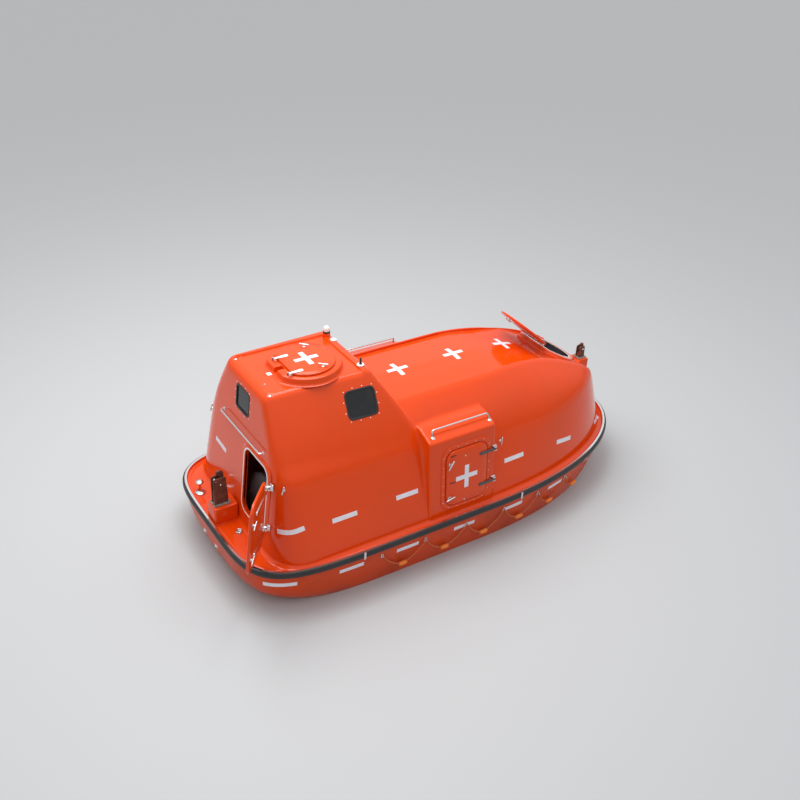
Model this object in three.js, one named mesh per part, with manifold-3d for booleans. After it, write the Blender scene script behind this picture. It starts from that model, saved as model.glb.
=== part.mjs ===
// Totally enclosed lifeboat, afloat: orange moulded hull and canopy with a raised wheelhouse.
// Millimetres. +X is the bow, +Y is port, +Z is up. The origin is amidships, on the
// centreline, at the waterline.
import * as THREE from 'three';
import { mergeVertices } from 'three/addons/utils/BufferGeometryUtils.js';
import Module from 'manifold-3d';

const wasm = await Module();
wasm.setup();

// Driving dimensions
const LENGTH = 5800;              // over the fender
const BEAM = 2700;                // over the fender
const DEPTH = 1150;               // keel to gunwale
const GUNWALE_Z = 550;
const FENDER_THICK = 40;
const FENDER_HIGH = 84;
const DECK_THICK = 20;
const WALL = 30;                  // moulded skin
const GAP = 0.3;                  // between pieces that rest on each other

const DECK_Z = GUNWALE_Z + DECK_THICK;
const KEEL_Z = GUNWALE_Z - DEPTH;
const HULL_HALF_LENGTH = LENGTH / 2 - FENDER_THICK;
const HULL_HALF_BEAM = BEAM / 2 - FENDER_THICK;

// Plan curve: exponents of the superellipse aft and forward of amidships
const AFT = { p: 7.28, q: 4.75 };
const FORE = { p: 2.44, q: 1.95 };

// Canopy
const CANOPY_HALF = 1215;         // half breadth at its foot
const CANOPY_BOW = 2770;          // reach of its foot
const SIDE_LEAN = 0.25;
const SIDE_CURVE = 0.000035;
const ROOF_Z = 1935;              // ridge amidships
const NOSE = { x: 2610, z: 1230, slope: 0.53 };
const CREASE_Y = 440;
const STERN_WALL = { x: -2360, z: 2370, lean: 0.1 };

// Wheelhouse
const TOWER_Z = 2370;
const TOWER_HALF = 480;
const TOWER_FLARE = 0.03;
const TOWER_SIDE = 0.588;         // inward run per unit of height
const TOWER_FRONT = { x: -1100, lean: 0.61 };

// Spine that the skins are grown from
const SPINE = { aft: -1700, fore: 1950 };

const ORANGE = 0xe8480c;
const paint = (colour, roughness, metalness) => new THREE.MeshStandardMaterial({
  color: colour, roughness, metalness,
});
const gelcoat = () => paint(ORANGE, 0.25, 0);
const steel = () => paint(0xc9ccce, 0.25, 1);
const rusty = () => paint(0x5c3a2c, 0.7, 0.6);
const rubber = () => paint(0x15161a, 0.6, 0);
const glass = () => paint(0x14181b, 0.08, 0);
const white = () => paint(0xe8e8e6, 0.4, 0);
const greyTrim = () => paint(0x6d7072, 0.7, 0);
const bronze = () => paint(0x9a7b45, 0.35, 1);

const group = new THREE.Group();

function addNode(name, geometry, material) {
  const mesh = new THREE.Mesh(geometry, material);
  mesh.name = name;
  group.add(mesh);
  return mesh;
}

// Solids: three.js geometry to a manifold body and back
function solidOf(geometry) {
  const bare = geometry.clone();
  bare.deleteAttribute('normal');
  bare.deleteAttribute('uv');
  const merged = mergeVertices(bare, 1e-3);
  const mesh = new wasm.Mesh({
    numProp: 3,
    vertProperties: new Float32Array(merged.attributes.position.array),
    triVerts: new Uint32Array(merged.index.array),
  });
  mesh.merge();
  return new wasm.Manifold(mesh);
}

function geometryOf(solid) {
  const mesh = solid.getMesh();
  const geometry = new THREE.BufferGeometry();
  geometry.setAttribute('position', new THREE.BufferAttribute(mesh.vertProperties, 3));
  geometry.setIndex(new THREE.BufferAttribute(mesh.triVerts, 1));
  geometry.computeVertexNormals();
  return geometry;
}

const addSolid = (name, solid, material) => addNode(name, geometryOf(solid), material);
const join = (solids) => solids.reduce((sum, solid) => sum.add(solid));

// Simple bodies
function box(lo, hi) {
  const size = hi.map((v, i) => v - lo[i]);
  const geometry = new THREE.BoxGeometry(...size);
  geometry.translate(...lo.map((v, i) => v + size[i] / 2));
  return solidOf(geometry);
}

// A cylinder from one point to another
function rod(from, to, radius, sides = 8) {
  const a = new THREE.Vector3(...from);
  const b = new THREE.Vector3(...to);
  const geometry = new THREE.CylinderGeometry(radius, radius, a.distanceTo(b), sides);
  const turn = new THREE.Quaternion().setFromUnitVectors(
    new THREE.Vector3(0, 1, 0), b.clone().sub(a).normalize());
  geometry.applyQuaternion(turn);
  geometry.translate(...a.add(b).multiplyScalar(0.5).toArray());
  return solidOf(geometry);
}

// A turned body about a vertical line: rows of radius and height
function turned(rows, at, sides = 20) {
  const profile = rows.map(([radius, z]) => new THREE.Vector2(radius, z));
  const geometry = new THREE.LatheGeometry(profile, sides);
  geometry.rotateX(Math.PI / 2);
  geometry.translate(...at);
  return solidOf(geometry);
}

// A round bar along a bent path
function bar(points, radius, { sides = 6, steps = 16, tension = 0.1 } = {}) {
  const path = new THREE.CatmullRomCurve3(
    points.map((p) => new THREE.Vector3(...p)), false, 'catmullrom', tension);
  const section = new THREE.Shape();
  section.absarc(0, 0, radius, 0, 2 * Math.PI, false);
  return solidOf(new THREE.ExtrudeGeometry(section, {
    steps, curveSegments: sides / 2, bevelEnabled: false, extrudePath: path,
  }));
}

function roundedRect(x0, y0, x1, y1, r) {
  const shape = new THREE.Shape();
  shape.moveTo(x0 + r, y0);
  shape.lineTo(x1 - r, y0);
  shape.absarc(x1 - r, y0 + r, r, -Math.PI / 2, 0, false);
  shape.lineTo(x1, y1 - r);
  shape.absarc(x1 - r, y1 - r, r, 0, Math.PI / 2, false);
  shape.lineTo(x0 + r, y1);
  shape.absarc(x0 + r, y1 - r, r, Math.PI / 2, Math.PI, false);
  shape.lineTo(x0, y0 + r);
  shape.absarc(x0 + r, y0 + r, r, Math.PI, 1.5 * Math.PI, false);
  return shape;
}

// Round lid outline with one straight edge: centred, the straight edge towards -x
function dShape(radius, flat) {
  const open = Math.acos(flat / radius);
  const shape = new THREE.Shape();
  shape.absarc(0, 0, radius, -Math.PI + open, Math.PI - open, false);
  shape.closePath();
  return shape;
}

// A flat outline pushed along its normal from z0 to z1 and laid in a frame
function plate(shape, z0, z1, frame, segments = 4) {
  const geometry = new THREE.ExtrudeGeometry(shape, {
    depth: z1 - z0, bevelEnabled: false, curveSegments: segments,
  });
  geometry.translate(0, 0, z0);
  geometry.applyMatrix4(frame);
  return solidOf(geometry);
}

// A frame from its origin, its x direction and its outward normal
function frameAt(origin, along, normal) {
  const x = new THREE.Vector3(...along).normalize();
  const z = new THREE.Vector3(...normal).normalize();
  const y = new THREE.Vector3().crossVectors(z, x);
  return new THREE.Matrix4().makeBasis(x, y, z).setPosition(...origin);
}

const mirrorY = (solid) => solid.mirror([0, 1, 0]);

// Smooth blends of two distances, so that edges come out rounded
function smoothMax(a, b, k) {
  const h = Math.max(k - Math.abs(a - b), 0) / k;
  return Math.max(a, b) + h * h * k / 4;
}
const smoothMin = (a, b, k) => -smoothMax(-a, -b, k);
const mix = (a, b, t) => a + (b - a) * Math.min(Math.max(t, 0), 1);

// Distance outside a plan outline with a full stern and a fine bow
function planField(x, y, bowReach, sternReach, half) {
  const { p, q } = x > 0 ? FORE : AFT;
  const reach = x > 0 ? bowReach : sternReach;
  const u = Math.pow(Math.abs(x) / reach, p) + Math.pow(Math.abs(y) / half, q);
  return (Math.pow(u, 1 / q) - 1) * half;
}

// Ridge height of the canopy over its length
function ridgeZ(x) {
  return smoothMin(ROOF_Z, NOSE.z + NOSE.slope * (NOSE.x - x), 360);
}

function roofZ(x, y) {
  const side = Math.hypot(y, 60) - 60;
  const camber = smoothMax(0.216 * side, 0.33 * side - 50, 12);
  return ridgeZ(x) - camber * mix(1, 1.25, (x - 500) / 700);
}

const sternX = (z) => STERN_WALL.x - STERN_WALL.lean * (STERN_WALL.z - z);

// Canopy wall: leaning sides, rounded bow and the stern wall
function wallField(x, y, z) {
  const rise = z - DECK_Z;
  const half = CANOPY_HALF - SIDE_LEAN * rise - SIDE_CURVE * rise * rise;
  const side = x > 0
    ? planField(x, y, CANOPY_BOW - 0.25 * rise, 1, half)
    : Math.abs(y) - half;
  return smoothMax(0.96 * side, sternX(z) - x, mix(420, 120, rise / 1800));
}

// Raised wheelhouse over the canopy's after part
function towerField(x, y, z) {
  const half = TOWER_HALF + TOWER_FLARE * (x - STERN_WALL.x);
  const upper = (Math.abs(y) - half - TOWER_SIDE * (TOWER_Z - z)) * 0.862;
  const front = (x - TOWER_FRONT.x - TOWER_FRONT.lean * (TOWER_Z - z)) * 0.853;
  return smoothMax(smoothMax(upper, front, 50), z - TOWER_Z, 60);
}

// Roof and wheelhouse inside the wall; the shoulder is roundest amidships
function canopyField(x, y, z) {
  const roof = (z - roofZ(x, y)) * 0.93;
  const top = smoothMin(roof, towerField(x, y, z), 30);
  const shoulder = x < 0 ? mix(120, 250, (x + 900) / 500) : mix(250, 70, (x - 1500) / 800);
  return smoothMax(wallField(x, y, z), top, shoulder);
}

// Hull: flared sides, rounded bilge, shallow vee bottom that rises to the bow and the stern
function hullField(x, y, z) {
  const drop = GUNWALE_Z - z;
  const flare = 0.13 * drop + 0.00012 * drop * drop;
  const bow = HULL_HALF_LENGTH - 0.24 * drop - 0.00018 * drop * drop;
  const stern = HULL_HALF_LENGTH - 0.03 * drop - 0.00010 * drop * drop;
  const side = planField(x, y, bow, stern, HULL_HALF_BEAM - flare);
  const rise = 0.27 * smoothMax(0, -x - 1150, 500)
    + 0.00022 * Math.pow(Math.max(x - 900, 0), 2) * 0.7;
  const bottom = (-500 + 0.11 * Math.abs(y) + rise - z) * 0.96;
  return smoothMax(side, bottom, 330);
}

// Rays of a skin: round the ends of the spine and square to it along the sides
function spineColumns(sternTurns, bowTurns, stations) {
  const half = Math.PI / 2;
  const radians = (degrees) => THREE.MathUtils.degToRad(degrees);
  const port = [
    ...sternTurns.map((turn) => ({ x: SPINE.aft, angle: Math.PI - radians(turn) })),
    ...stations.map((x) => ({ x, angle: half })),
    ...bowTurns.map((turn) => ({ x: SPINE.fore, angle: half - radians(turn) })),
  ];
  const ahead = { x: SPINE.fore, angle: 0 };
  const starboard = port.slice(1).reverse().map(({ x, angle }) => ({ x, angle: -angle }));
  return [...port, ahead, ...starboard];
}

function stationsBetween(count, extra = []) {
  const even = Array.from({ length: count + 1 },
    (_, i) => SPINE.aft + (SPINE.fore - SPINE.aft) * i / count);
  return [...even, ...extra].sort((a, b) => a - b);
}

// Length of a ray from its start to where the field reaches a level
function reach(field, level, start, direction) {
  const at = (t) => field(
    start[0] + t * direction[0], start[1] + t * direction[1], start[2] + t * direction[2]) - level;
  let far = 100;
  while (at(far) < 0) far += 100;
  let near = far - 100;
  for (let i = 0; i < 24; i++) {
    const middle = (near + far) / 2;
    if (at(middle) < 0) near = middle;
    else far = middle;
  }
  return near;
}

// A closed body grown from the spine to a level of a field, with a flat face at the spine
function grown(field, level, columns, elevations, z0, extend = 0) {
  const points = [];
  const keys = new Map();
  const put = (p) => {
    const key = p.map((v) => Math.round(v * 50)).join(' ');
    if (!keys.has(key)) {
      keys.set(key, points.length);
      points.push(p);
    }
    return keys.get(key);
  };
  const rows = elevations.map((degrees) => columns.map(({ x, angle }) => {
    const e = THREE.MathUtils.degToRad(degrees);
    const direction = [Math.cos(angle) * Math.cos(e), Math.sin(angle) * Math.cos(e), Math.sin(e)];
    if (Math.abs(degrees) === 90) direction[0] = direction[1] = 0;
    const t = reach(field, level, [x, 0, z0], direction);
    return put([x + t * direction[0], t * direction[1], z0 + t * direction[2]]);
  }));
  const up = elevations.at(-1) > 0;
  if (extend) rows.unshift(rows[0].map((i) => put([points[i][0], points[i][1], z0 - extend])));
  const faces = [];
  const tri = (a, b, c) => {
    if (a !== b && b !== c && c !== a) faces.push(...(up ? [a, c, b] : [a, b, c]));
  };
  const n = columns.length;
  for (let r = 0; r + 1 < rows.length; r++) {
    for (let i = 0; i < n; i++) {
      const j = (i + 1) % n;
      tri(rows[r][i], rows[r][j], rows[r + 1][j]);
      tri(rows[r][i], rows[r + 1][j], rows[r + 1][i]);
    }
  }
  const cap = rows[0];
  const spineZ = points[cap[0]][2];
  const centre = columns.map(({ x }) => put([x, 0, spineZ]));
  for (let i = 0; i < n; i++) {
    const j = (i + 1) % n;
    tri(centre[i], centre[j], cap[j]);
    tri(centre[i], cap[j], cap[i]);
  }
  const geometry = new THREE.BufferGeometry();
  geometry.setAttribute('position', new THREE.Float32BufferAttribute(points.flat(), 3));
  geometry.setIndex(faces);
  return solidOf(geometry);
}

// Turns of the end rays from dead astern and from abeam, in degrees, and rows of elevation
const STERN_TURNS = [0, 22, 38, 46, 53, 60, 70, 80];
const BOW_TURNS = [15, 30, 45, 60, 75];
const columns = spineColumns(STERN_TURNS, BOW_TURNS, stationsBetween(10, [-1100, -960, -800]));
const UP_ROWS = [0, 22, 40, 49, 54, 61, 67, 72, 76, 81, 90];
const innerColumns = spineColumns([0, 25, 46, 60, 75], [30, 60], stationsBetween(5, [-1100, -800]));
const INNER_UP_ROWS = [0, 40, 52, 66, 75, 90];
const DOWN_ROWS = [0, -12, -24, -36, -52, -70, -90];
const INNER_DOWN_ROWS = [0, -24, -40, -60, -90];

// Points of a plan outline on the spine's rays
function planRing(half, bow, stern) {
  const field = (x, y) => planField(x, y, bow, stern, half);
  return columns.map(({ x, angle }) => {
    const direction = [Math.cos(angle), Math.sin(angle), 0];
    const t = reach(field, 0, [x, 0, 0], direction);
    return new THREE.Vector2(x + t * direction[0], t * direction[1]);
  });
}

function fieldRing(field, level, z) {
  return columns.map(({ x, angle }) => {
    const direction = [Math.cos(angle), Math.sin(angle), 0];
    const t = reach(field, level, [x, 0, z], direction);
    return new THREE.Vector2(x + t * direction[0], t * direction[1]);
  });
}

// A closed ring whose section is carried along a plan outline: rows of offset and height
function ringBody(ring, section) {
  const n = ring.length;
  const normals = ring.map((_, i) => {
    const t = ring[(i + 1) % n].clone().sub(ring[(i + n - 1) % n]).normalize();
    return new THREE.Vector2(-t.y, t.x);
  });
  const points = ring.flatMap((p, i) => section.map(([out, z]) => [
    p.x + normals[i].x * out, p.y + normals[i].y * out, z]));
  const m = section.length;
  const faces = [];
  for (let i = 0; i < n; i++) {
    for (let s = 0; s < m; s++) {
      const a = i * m + s;
      const b = i * m + (s + 1) % m;
      const c = ((i + 1) % n) * m + s;
      const d = ((i + 1) % n) * m + (s + 1) % m;
      faces.push(a, b, c, b, d, c);
    }
  }
  const geometry = new THREE.BufferGeometry();
  geometry.setAttribute('position', new THREE.Float32BufferAttribute(points.flat(), 3));
  geometry.setIndex(faces);
  return solidOf(geometry);
}

const shapeOf = (ring) => new THREE.Shape(ring);
const GROUND = new THREE.Matrix4();

// Side doors and the boxes that carry them
const DOOR_BOX = { x0: -680, x1: 240, top: 1605, footY: 1222, topY: 1130, innerY: 900, innerZ: 1690 };
const DOOR_FACE_LEAN = (DOOR_BOX.footY - DOOR_BOX.topY) / (DOOR_BOX.top - DECK_Z);
const SIDE_DOOR = { x0: -460, x1: 110, z0: 720, z1: 1440, hingeX: 222, thick: 26, out: 26 };
const HINGE_ARMS = [0.22, 0.8];   // share of the door's height
const SIDE_DOOR_ROUND = 120;

// Frame of the starboard door face: x aft to bow, y up the leaning face, z outward
function sideFrame() {
  const foot = DOOR_BOX.footY;
  return frameAt([0, -foot, DECK_Z], [1, 0, 0], [0, -1, DOOR_FACE_LEAN]);
}
const upFace = (z) => (z - DECK_Z) * Math.hypot(1, DOOR_FACE_LEAN);

function doorBoxSection(inset) {
  const s = DOOR_BOX;
  return new THREE.Shape([
    new THREE.Vector2(500, DECK_Z + (inset ? -15 : 0)),
    new THREE.Vector2(s.footY - inset, DECK_Z + (inset ? -15 : 0)),
    new THREE.Vector2(s.topY - inset, s.top - inset),
    new THREE.Vector2(s.innerY - inset, s.innerZ - inset),
    new THREE.Vector2(500, s.innerZ - inset),
  ]);
}

// The box runs along x: its section is drawn in y and z
function doorBox(inset) {
  const frame = new THREE.Matrix4().makeBasis(
    new THREE.Vector3(0, 1, 0), new THREE.Vector3(0, 0, 1), new THREE.Vector3(1, 0, 0));
  return plate(doorBoxSection(inset), DOOR_BOX.x0 + inset, DOOR_BOX.x1 - inset, frame);
}

// Stern door
const STERN_DOOR = { y0: -720, y1: -130, z0: 770, z1: 1620, hingeY: -790, thick: 28, open: 140 };
const STERN_DOOR_ROUND = 130;
const LEAN_LENGTH = Math.hypot(1, STERN_WALL.lean);
const sternFrame = () => frameAt([sternX(DECK_Z), 0, DECK_Z], [0, 1, 0], [-1, 0, STERN_WALL.lean]);
// On the stern wall the frame's x is to port and its y is down the wall
const downStern = (z) => -(z - DECK_Z) * LEAN_LENGTH;

// Hatches: D-shaped lids on raised seats
const LUG = { in: 20.6, out: 31 };  // hinge cheeks either side of an arm
const ROOF_ARMS = [-190, 190];
const BOW_ARMS = [-150, 150];
const ROOF_HATCH = { x: -1700, y: -110, z: TOWER_Z + 76, radius: 340, flat: 250, bore: 290 };
const LID_THICK = 26;
const LID_BACK = 40;               // hinge line behind a lid's straight edge
const SEAT_RIM = 62;
const BOW_HATCH = { radius: 350, flat: 255, bore: 300, rise: 46, turn: 166 };
const SLOPE = Math.atan(NOSE.slope);
const BOW_SEAT = { x: 1915, z: NOSE.z + NOSE.slope * (NOSE.x - 1915) };
const roofHatchFrame = () => frameAt([ROOF_HATCH.x, ROOF_HATCH.y, ROOF_HATCH.z], [1, 0, 0], [0, 0, 1]);
function bowHatchFrame() {
  const normal = [Math.sin(SLOPE), 0, Math.cos(SLOPE)];
  const seat = BOW_HATCH.rise;
  return frameAt([BOW_SEAT.x + seat * normal[0], 0, BOW_SEAT.z + seat * normal[2]],
    [Math.cos(SLOPE), 0, -Math.sin(SLOPE)], normal);
}

// Windows: outline on a plane, cut through the skin, with a pane in the cut
const towerUpper = (z) => TOWER_HALF + TOWER_SIDE * (TOWER_Z - z);
function towerSideFrame() {
  const y = -towerUpper(2100) - TOWER_FLARE * (-1300 - STERN_WALL.x);
  return frameAt([-1300, y, 2100], [1, -TOWER_FLARE, 0], [-TOWER_FLARE, -1, TOWER_SIDE]);
}
function towerFrontFrame() {
  const x = TOWER_FRONT.x + TOWER_FRONT.lean * (TOWER_Z - 2160);
  return frameAt([x, 0, 2160], [0, 1, 0], [1, 0, TOWER_FRONT.lean]);
}
// name, frame, low and high corner in the frame, corner radius
const WINDOWS = [
  ['window_starboard', towerSideFrame(), [-172, -152], [172, 142], 45],
  ['window_front_port', towerFrontFrame(), [70, -120], [400, 110], 45],
  ['window_front_starboard', towerFrontFrame(), [-400, -120], [-70, 110], 45],
  ['window_stern', sternFrame(), [-150, downStern(2215)], [150, downStern(1950)], 40],
];
const PANE = 10;

function windowCut([, frame, lo, hi, r]) {
  return plate(roundedRect(lo[0], lo[1], hi[0], hi[1], r), -160, 160, frame);
}
function windowPane([, frame, lo, hi, r]) {
  const g = GAP;
  const shape = roundedRect(lo[0] + g, lo[1] + g, hi[0] - g, hi[1] - g, r);
  return plate(shape, -PANE - 8, -8, frame);
}

// Flat pad for the fore hook on the nose
const HOOK_PAD = { x0: 2465, x1: 2625, half: 95, z: 1312 };

// Canopy skin with its boxes, seats, frames and openings
function canopySolid() {
  let outer = grown(canopyField, 0, columns, UP_ROWS, DECK_Z + GAP);
  let inner = grown(canopyField, -WALL, innerColumns, INNER_UP_ROWS, DECK_Z + GAP, 20);
  for (const side of [doorBox(0).mirror([0, 1, 0]), doorBox(0)]) {
    outer = outer.add(side.trimByPlane([0, 0, 1], DECK_Z + GAP));
  }
  inner = inner.add(doorBox(WALL)).add(mirrorY(doorBox(WALL)));
  const roof = roofHatchFrame();
  const bow = bowHatchFrame();
  const seatRoof = dShape(ROOF_HATCH.radius + SEAT_RIM, ROOF_HATCH.flat + 110);
  outer = outer.add(plate(seatRoof, -90, -GAP, roof, 16));
  const seatBow = dShape(BOW_HATCH.radius + 50, BOW_HATCH.flat + 64);
  outer = outer.add(plate(seatBow, -130, -GAP, bow, 16));
  // raised lip on the roof's port and forward edges
  outer = outer.add(box([-1200, -450, TOWER_Z - 20], [-1125, 440, TOWER_Z + 24]));
  outer = outer.add(box([-2290, 405, TOWER_Z - 20], [-1190, 440, TOWER_Z + 24]));
  const pad = HOOK_PAD;
  outer = outer.add(box([pad.x0, -pad.half, pad.z - 130], [pad.x1, pad.half, pad.z]));
  // raised door frames
  const face = sideFrame();
  const d = SIDE_DOOR;
  const ringOut = roundedRect(d.x0 - 62, upFace(d.z0 - 62), d.x1 + 60, upFace(d.z1 + 62), 150);
  const ringIn = roundedRect(d.x0 - 10, upFace(d.z0 - 10), d.x1 + 10, upFace(d.z1 + 10), 125);
  const frame = plate(ringOut, -10, 12, face, 6).subtract(plate(ringIn, 0, 60, face, 6));
  outer = outer.add(frame).add(mirrorY(frame));
  const s = STERN_DOOR;
  const stern = sternFrame();
  const rimOut = roundedRect(s.y0 - 2, downStern(s.z1 + 2), s.y1 + 2, downStern(s.z0 - 2), 132);
  outer = outer.add(plate(rimOut, -30, 16, stern, 6));
  let skin = outer.subtract(inner);
  skin = skin.add(sideHingeLugs()).add(mirrorY(sideHingeLugs())).add(sternHingeLugs());
  skin = skin.add(lidLugs(ROOF_HATCH, ROOF_ARMS).transform(matrixOf(roof)));
  skin = skin.add(lidLugs(BOW_HATCH, BOW_ARMS).transform(matrixOf(bow)));
  // openings
  const doorHole = roundedRect(d.x0 + 34, upFace(d.z0 + 34), d.x1 - 34, upFace(d.z1 - 34), 90);
  const doorCut = plate(doorHole, -170, 80, face, 6);
  const sternHole = roundedRect(s.y0 + 26, downStern(s.z1 - 26), s.y1 - 26, downStern(s.z0 + 26), 106);
  skin = skin.subtract(doorCut).subtract(mirrorY(doorCut));
  skin = skin.subtract(plate(sternHole, -260, 80, stern, 6));
  skin = skin.subtract(plate(dShape(ROOF_HATCH.bore, ROOF_HATCH.flat - 50), -260, 20, roof, 16));
  skin = skin.subtract(plate(dShape(BOW_HATCH.bore, BOW_HATCH.flat - 50), -300, 20, bow, 16));
  for (const row of WINDOWS) skin = skin.subtract(windowCut(row));
  skin = skin.subtract(mirrorY(windowCut(WINDOWS[0])));
  return skin;
}

// Regions that the skin is split into, in cutting order
const BIG = 4000;
const CUTS = [
  ['wheelhouse', [-BIG, -BIG, 1700], [-560, BIG, BIG]],
  ['stern_wall', [-BIG, -BIG, 0], [-2330, BIG, 1700]],
  ['canopy_top', [-560, -CREASE_Y, 1150], [BIG, CREASE_Y, BIG]],
  ['canopy_starboard', [-BIG, -BIG, 0], [BIG, 0, BIG]],
  ['canopy_port', [-BIG, 0, 0], [BIG, BIG, BIG]],
];

function addCanopy() {
  let rest = canopySolid();
  for (const [name, lo, hi] of CUTS) {
    const region = box(lo, hi);
    const grownBox = box(lo.map((v) => v - GAP), hi.map((v) => v + GAP));
    addSolid(name, rest.intersect(region), gelcoat());
    rest = rest.subtract(grownBox);
  }
}

// Hull skin with its keel, skeg and nozzle shoe
const SHAFT_Z = -395;
const NOZZLE = { x: -2395, inner: 168, thick: 16, length: 150 };
const BLADE = { count: 3, middle: 92, wide: 52, long: 64, thick: 10, pitch: Math.PI / 3 };
const PROP_X = -2388;
const SKEG_END = -2170;
const SHOE = { z0: KEEL_Z, z1: KEEL_Z + 14 };

function hullSolid() {
  const outer = grown(hullField, 0, columns, DOWN_ROWS, GUNWALE_Z - GAP);
  const inner = grown(hullField, -WALL, innerColumns, INNER_DOWN_ROWS, GUNWALE_Z - GAP, -20);
  const keelShape = new THREE.Shape([
    [-2500, SHOE.z0], [1500, SHOE.z0], [2150, -300], [2150, -150], [-2300, -150],
    [SKEG_END, -200], [SKEG_END, SHOE.z1], [-2500, SHOE.z1],
  ].map(([x, z]) => new THREE.Vector2(x, z)));
  const upright = new THREE.Matrix4().makeBasis(
    new THREE.Vector3(1, 0, 0), new THREE.Vector3(0, 0, 1), new THREE.Vector3(0, -1, 0));
  const keel = plate(keelShape, -35, 35, upright);
  const bore = rod([-2400, 0, SHAFT_Z], [-1900, 0, SHAFT_Z], 27, 24);
  const stock = rod([NOZZLE.x, 0, -400], [NOZZLE.x, 0, 100], 23, 24)
    .add(rod([NOZZLE.x, 0, KEEL_Z - 10], [NOZZLE.x, 0, KEEL_Z + 40], 13, 24));
  return outer.add(keel).subtract(inner).subtract(bore).subtract(stock);
}

// Seats and floor inside: one moulding on the hull skin
const BENCH_Z = 330;
const FLOOR_Z = -120;
const WELLS = [
  [[-1900, 260], [1700, 760]],
  [[-1900, -760], [1700, -260]],
  [[-2280, -700], [-1890, 700]],
];
const ENGINE = { x0: -1550, x1: -800, half: 225, z0: -290, z1: 260 };

function linerSolid() {
  const whole = grown(hullField, -WALL - 1, innerColumns, INNER_DOWN_ROWS, GUNWALE_Z - GAP);
  let liner = whole.trimByPlane([0, 0, -1], -BENCH_Z);
  for (const [[x0, y0], [x1, y1]] of WELLS) {
    liner = liner.subtract(box([x0, y0, FLOOR_Z], [x1, y1, 600]));
  }
  const e = ENGINE;
  liner = liner.subtract(box(
    [e.x0 - 8, -e.half - 8, e.z0 - GAP], [e.x1 + 8, e.half + 8, 600]));
  const shaft = rod([-2900, 0, SHAFT_Z], [e.x0, 0, SHAFT_Z + 60], 34, 12);
  const stock = rod([NOZZLE.x, 0, -500], [NOZZLE.x, 0, 600], 30, 12);
  return liner.subtract(shaft).subtract(stock);
}

let hullMesh;

function addHull() {
  hullMesh = addSolid('hull_shell', hullSolid(), gelcoat());
  addSolid('seat_moulding', linerSolid(), paint(0xd8d6cf, 0.5, 0));
  const e = ENGINE;
  addSolid('engine_block', box([e.x0, -e.half, e.z0], [e.x1, e.half, e.z1]), paint(0x3b5f7a, 0.6, 0.3));
  addSolid('engine_cover', box(
    [e.x0 - 40, -250, BENCH_Z + GAP], [e.x1 + 40, 250, BENCH_Z + 40]), greyTrim());
}

// Deck plate between hull and canopy, with the aft hook's pedestal on it
const PEDESTAL = { x0: -2825, x1: -2535, y: 40, half: 118, top: 790 };

function addDeck() {
  const outer = shapeOf(planRing(HULL_HALF_BEAM, HULL_HALF_LENGTH, HULL_HALF_LENGTH));
  const hole = shapeOf(fieldRing(wallField, -WALL - 6, DECK_Z));
  const deck = plate(outer, GUNWALE_Z, DECK_Z, GROUND).subtract(
    plate(hole, GUNWALE_Z - 10, DECK_Z + 10, GROUND));
  addSolid('side_deck', deck, gelcoat());
  const p = PEDESTAL;
  const solid = box([p.x0, p.y - p.half, DECK_Z + GAP], [p.x1, p.y + p.half, p.top]);
  const lean = plate(new THREE.Shape([
    [sternX(DECK_Z) - GAP, 0], [sternX(900) - GAP, 900 - DECK_Z], [-2000, 900 - DECK_Z], [-2000, 0],
  ].map(([x, z]) => new THREE.Vector2(x, z))), -500, 500, new THREE.Matrix4().makeBasis(
    new THREE.Vector3(1, 0, 0), new THREE.Vector3(0, 0, 1), new THREE.Vector3(0, -1, 0),
  ).setPosition(0, 0, DECK_Z));
  addSolid('hook_pedestal', solid.subtract(lean), gelcoat());
}

function addFender() {
  const ring = planRing(HULL_HALF_BEAM, HULL_HALF_LENGTH, HULL_HALF_LENGTH);
  const low = GUNWALE_Z + 14 - FENDER_HIGH / 2;
  const high = low + FENDER_HIGH;
  const section = [
    [GAP + 0.4, low], [24, low + 3], [FENDER_THICK, low + 22],
    [FENDER_THICK, high - 22], [24, high - 3], [GAP + 0.4, high],
  ];
  addSolid('fender', ringBody(ring, section), rubber());
}

// Doors. Each leaf is drawn closed in its wall's frame, with its hinge arms and handles
function sideDoorSolid() {
  const d = SIDE_DOOR;
  const face = sideFrame();
  const y0 = upFace(d.z0);
  const y1 = upFace(d.z1);
  let leaf = plate(roundedRect(d.x0, y0, d.x1, y1, SIDE_DOOR_ROUND), GAP, d.thick, face, 4);
  for (const share of HINGE_ARMS) {
    const y = y0 + (y1 - y0) * share;
    const arm = roundedRect(d.x0 + 455, y - 20, d.hingeX, y + 20, 8);
    leaf = leaf.add(plate(arm, d.thick - 6, d.thick + 8, face));
    const eye = rod([d.hingeX, y - 20, d.out], [d.hingeX, y + 20, d.out], 15);
    leaf = leaf.add(eye.transform(matrixOf(face)));
  }
  for (const share of [0.16, 0.78]) {
    const y = y0 + (y1 - y0) * share;
    leaf = leaf.add(rod([d.x0 + 42, y, d.thick - 6], [d.x0 + 42, y, d.thick + 34], 16)
      .add(plate(roundedRect(d.x0 + 24, y - 10, d.x0 + 150, y + 10, 6), d.thick + 22,
        d.thick + 34, GROUND)).transform(matrixOf(face)));
  }
  return leaf;
}

function matrixOf(frame) {
  return [...frame.elements];
}

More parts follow.
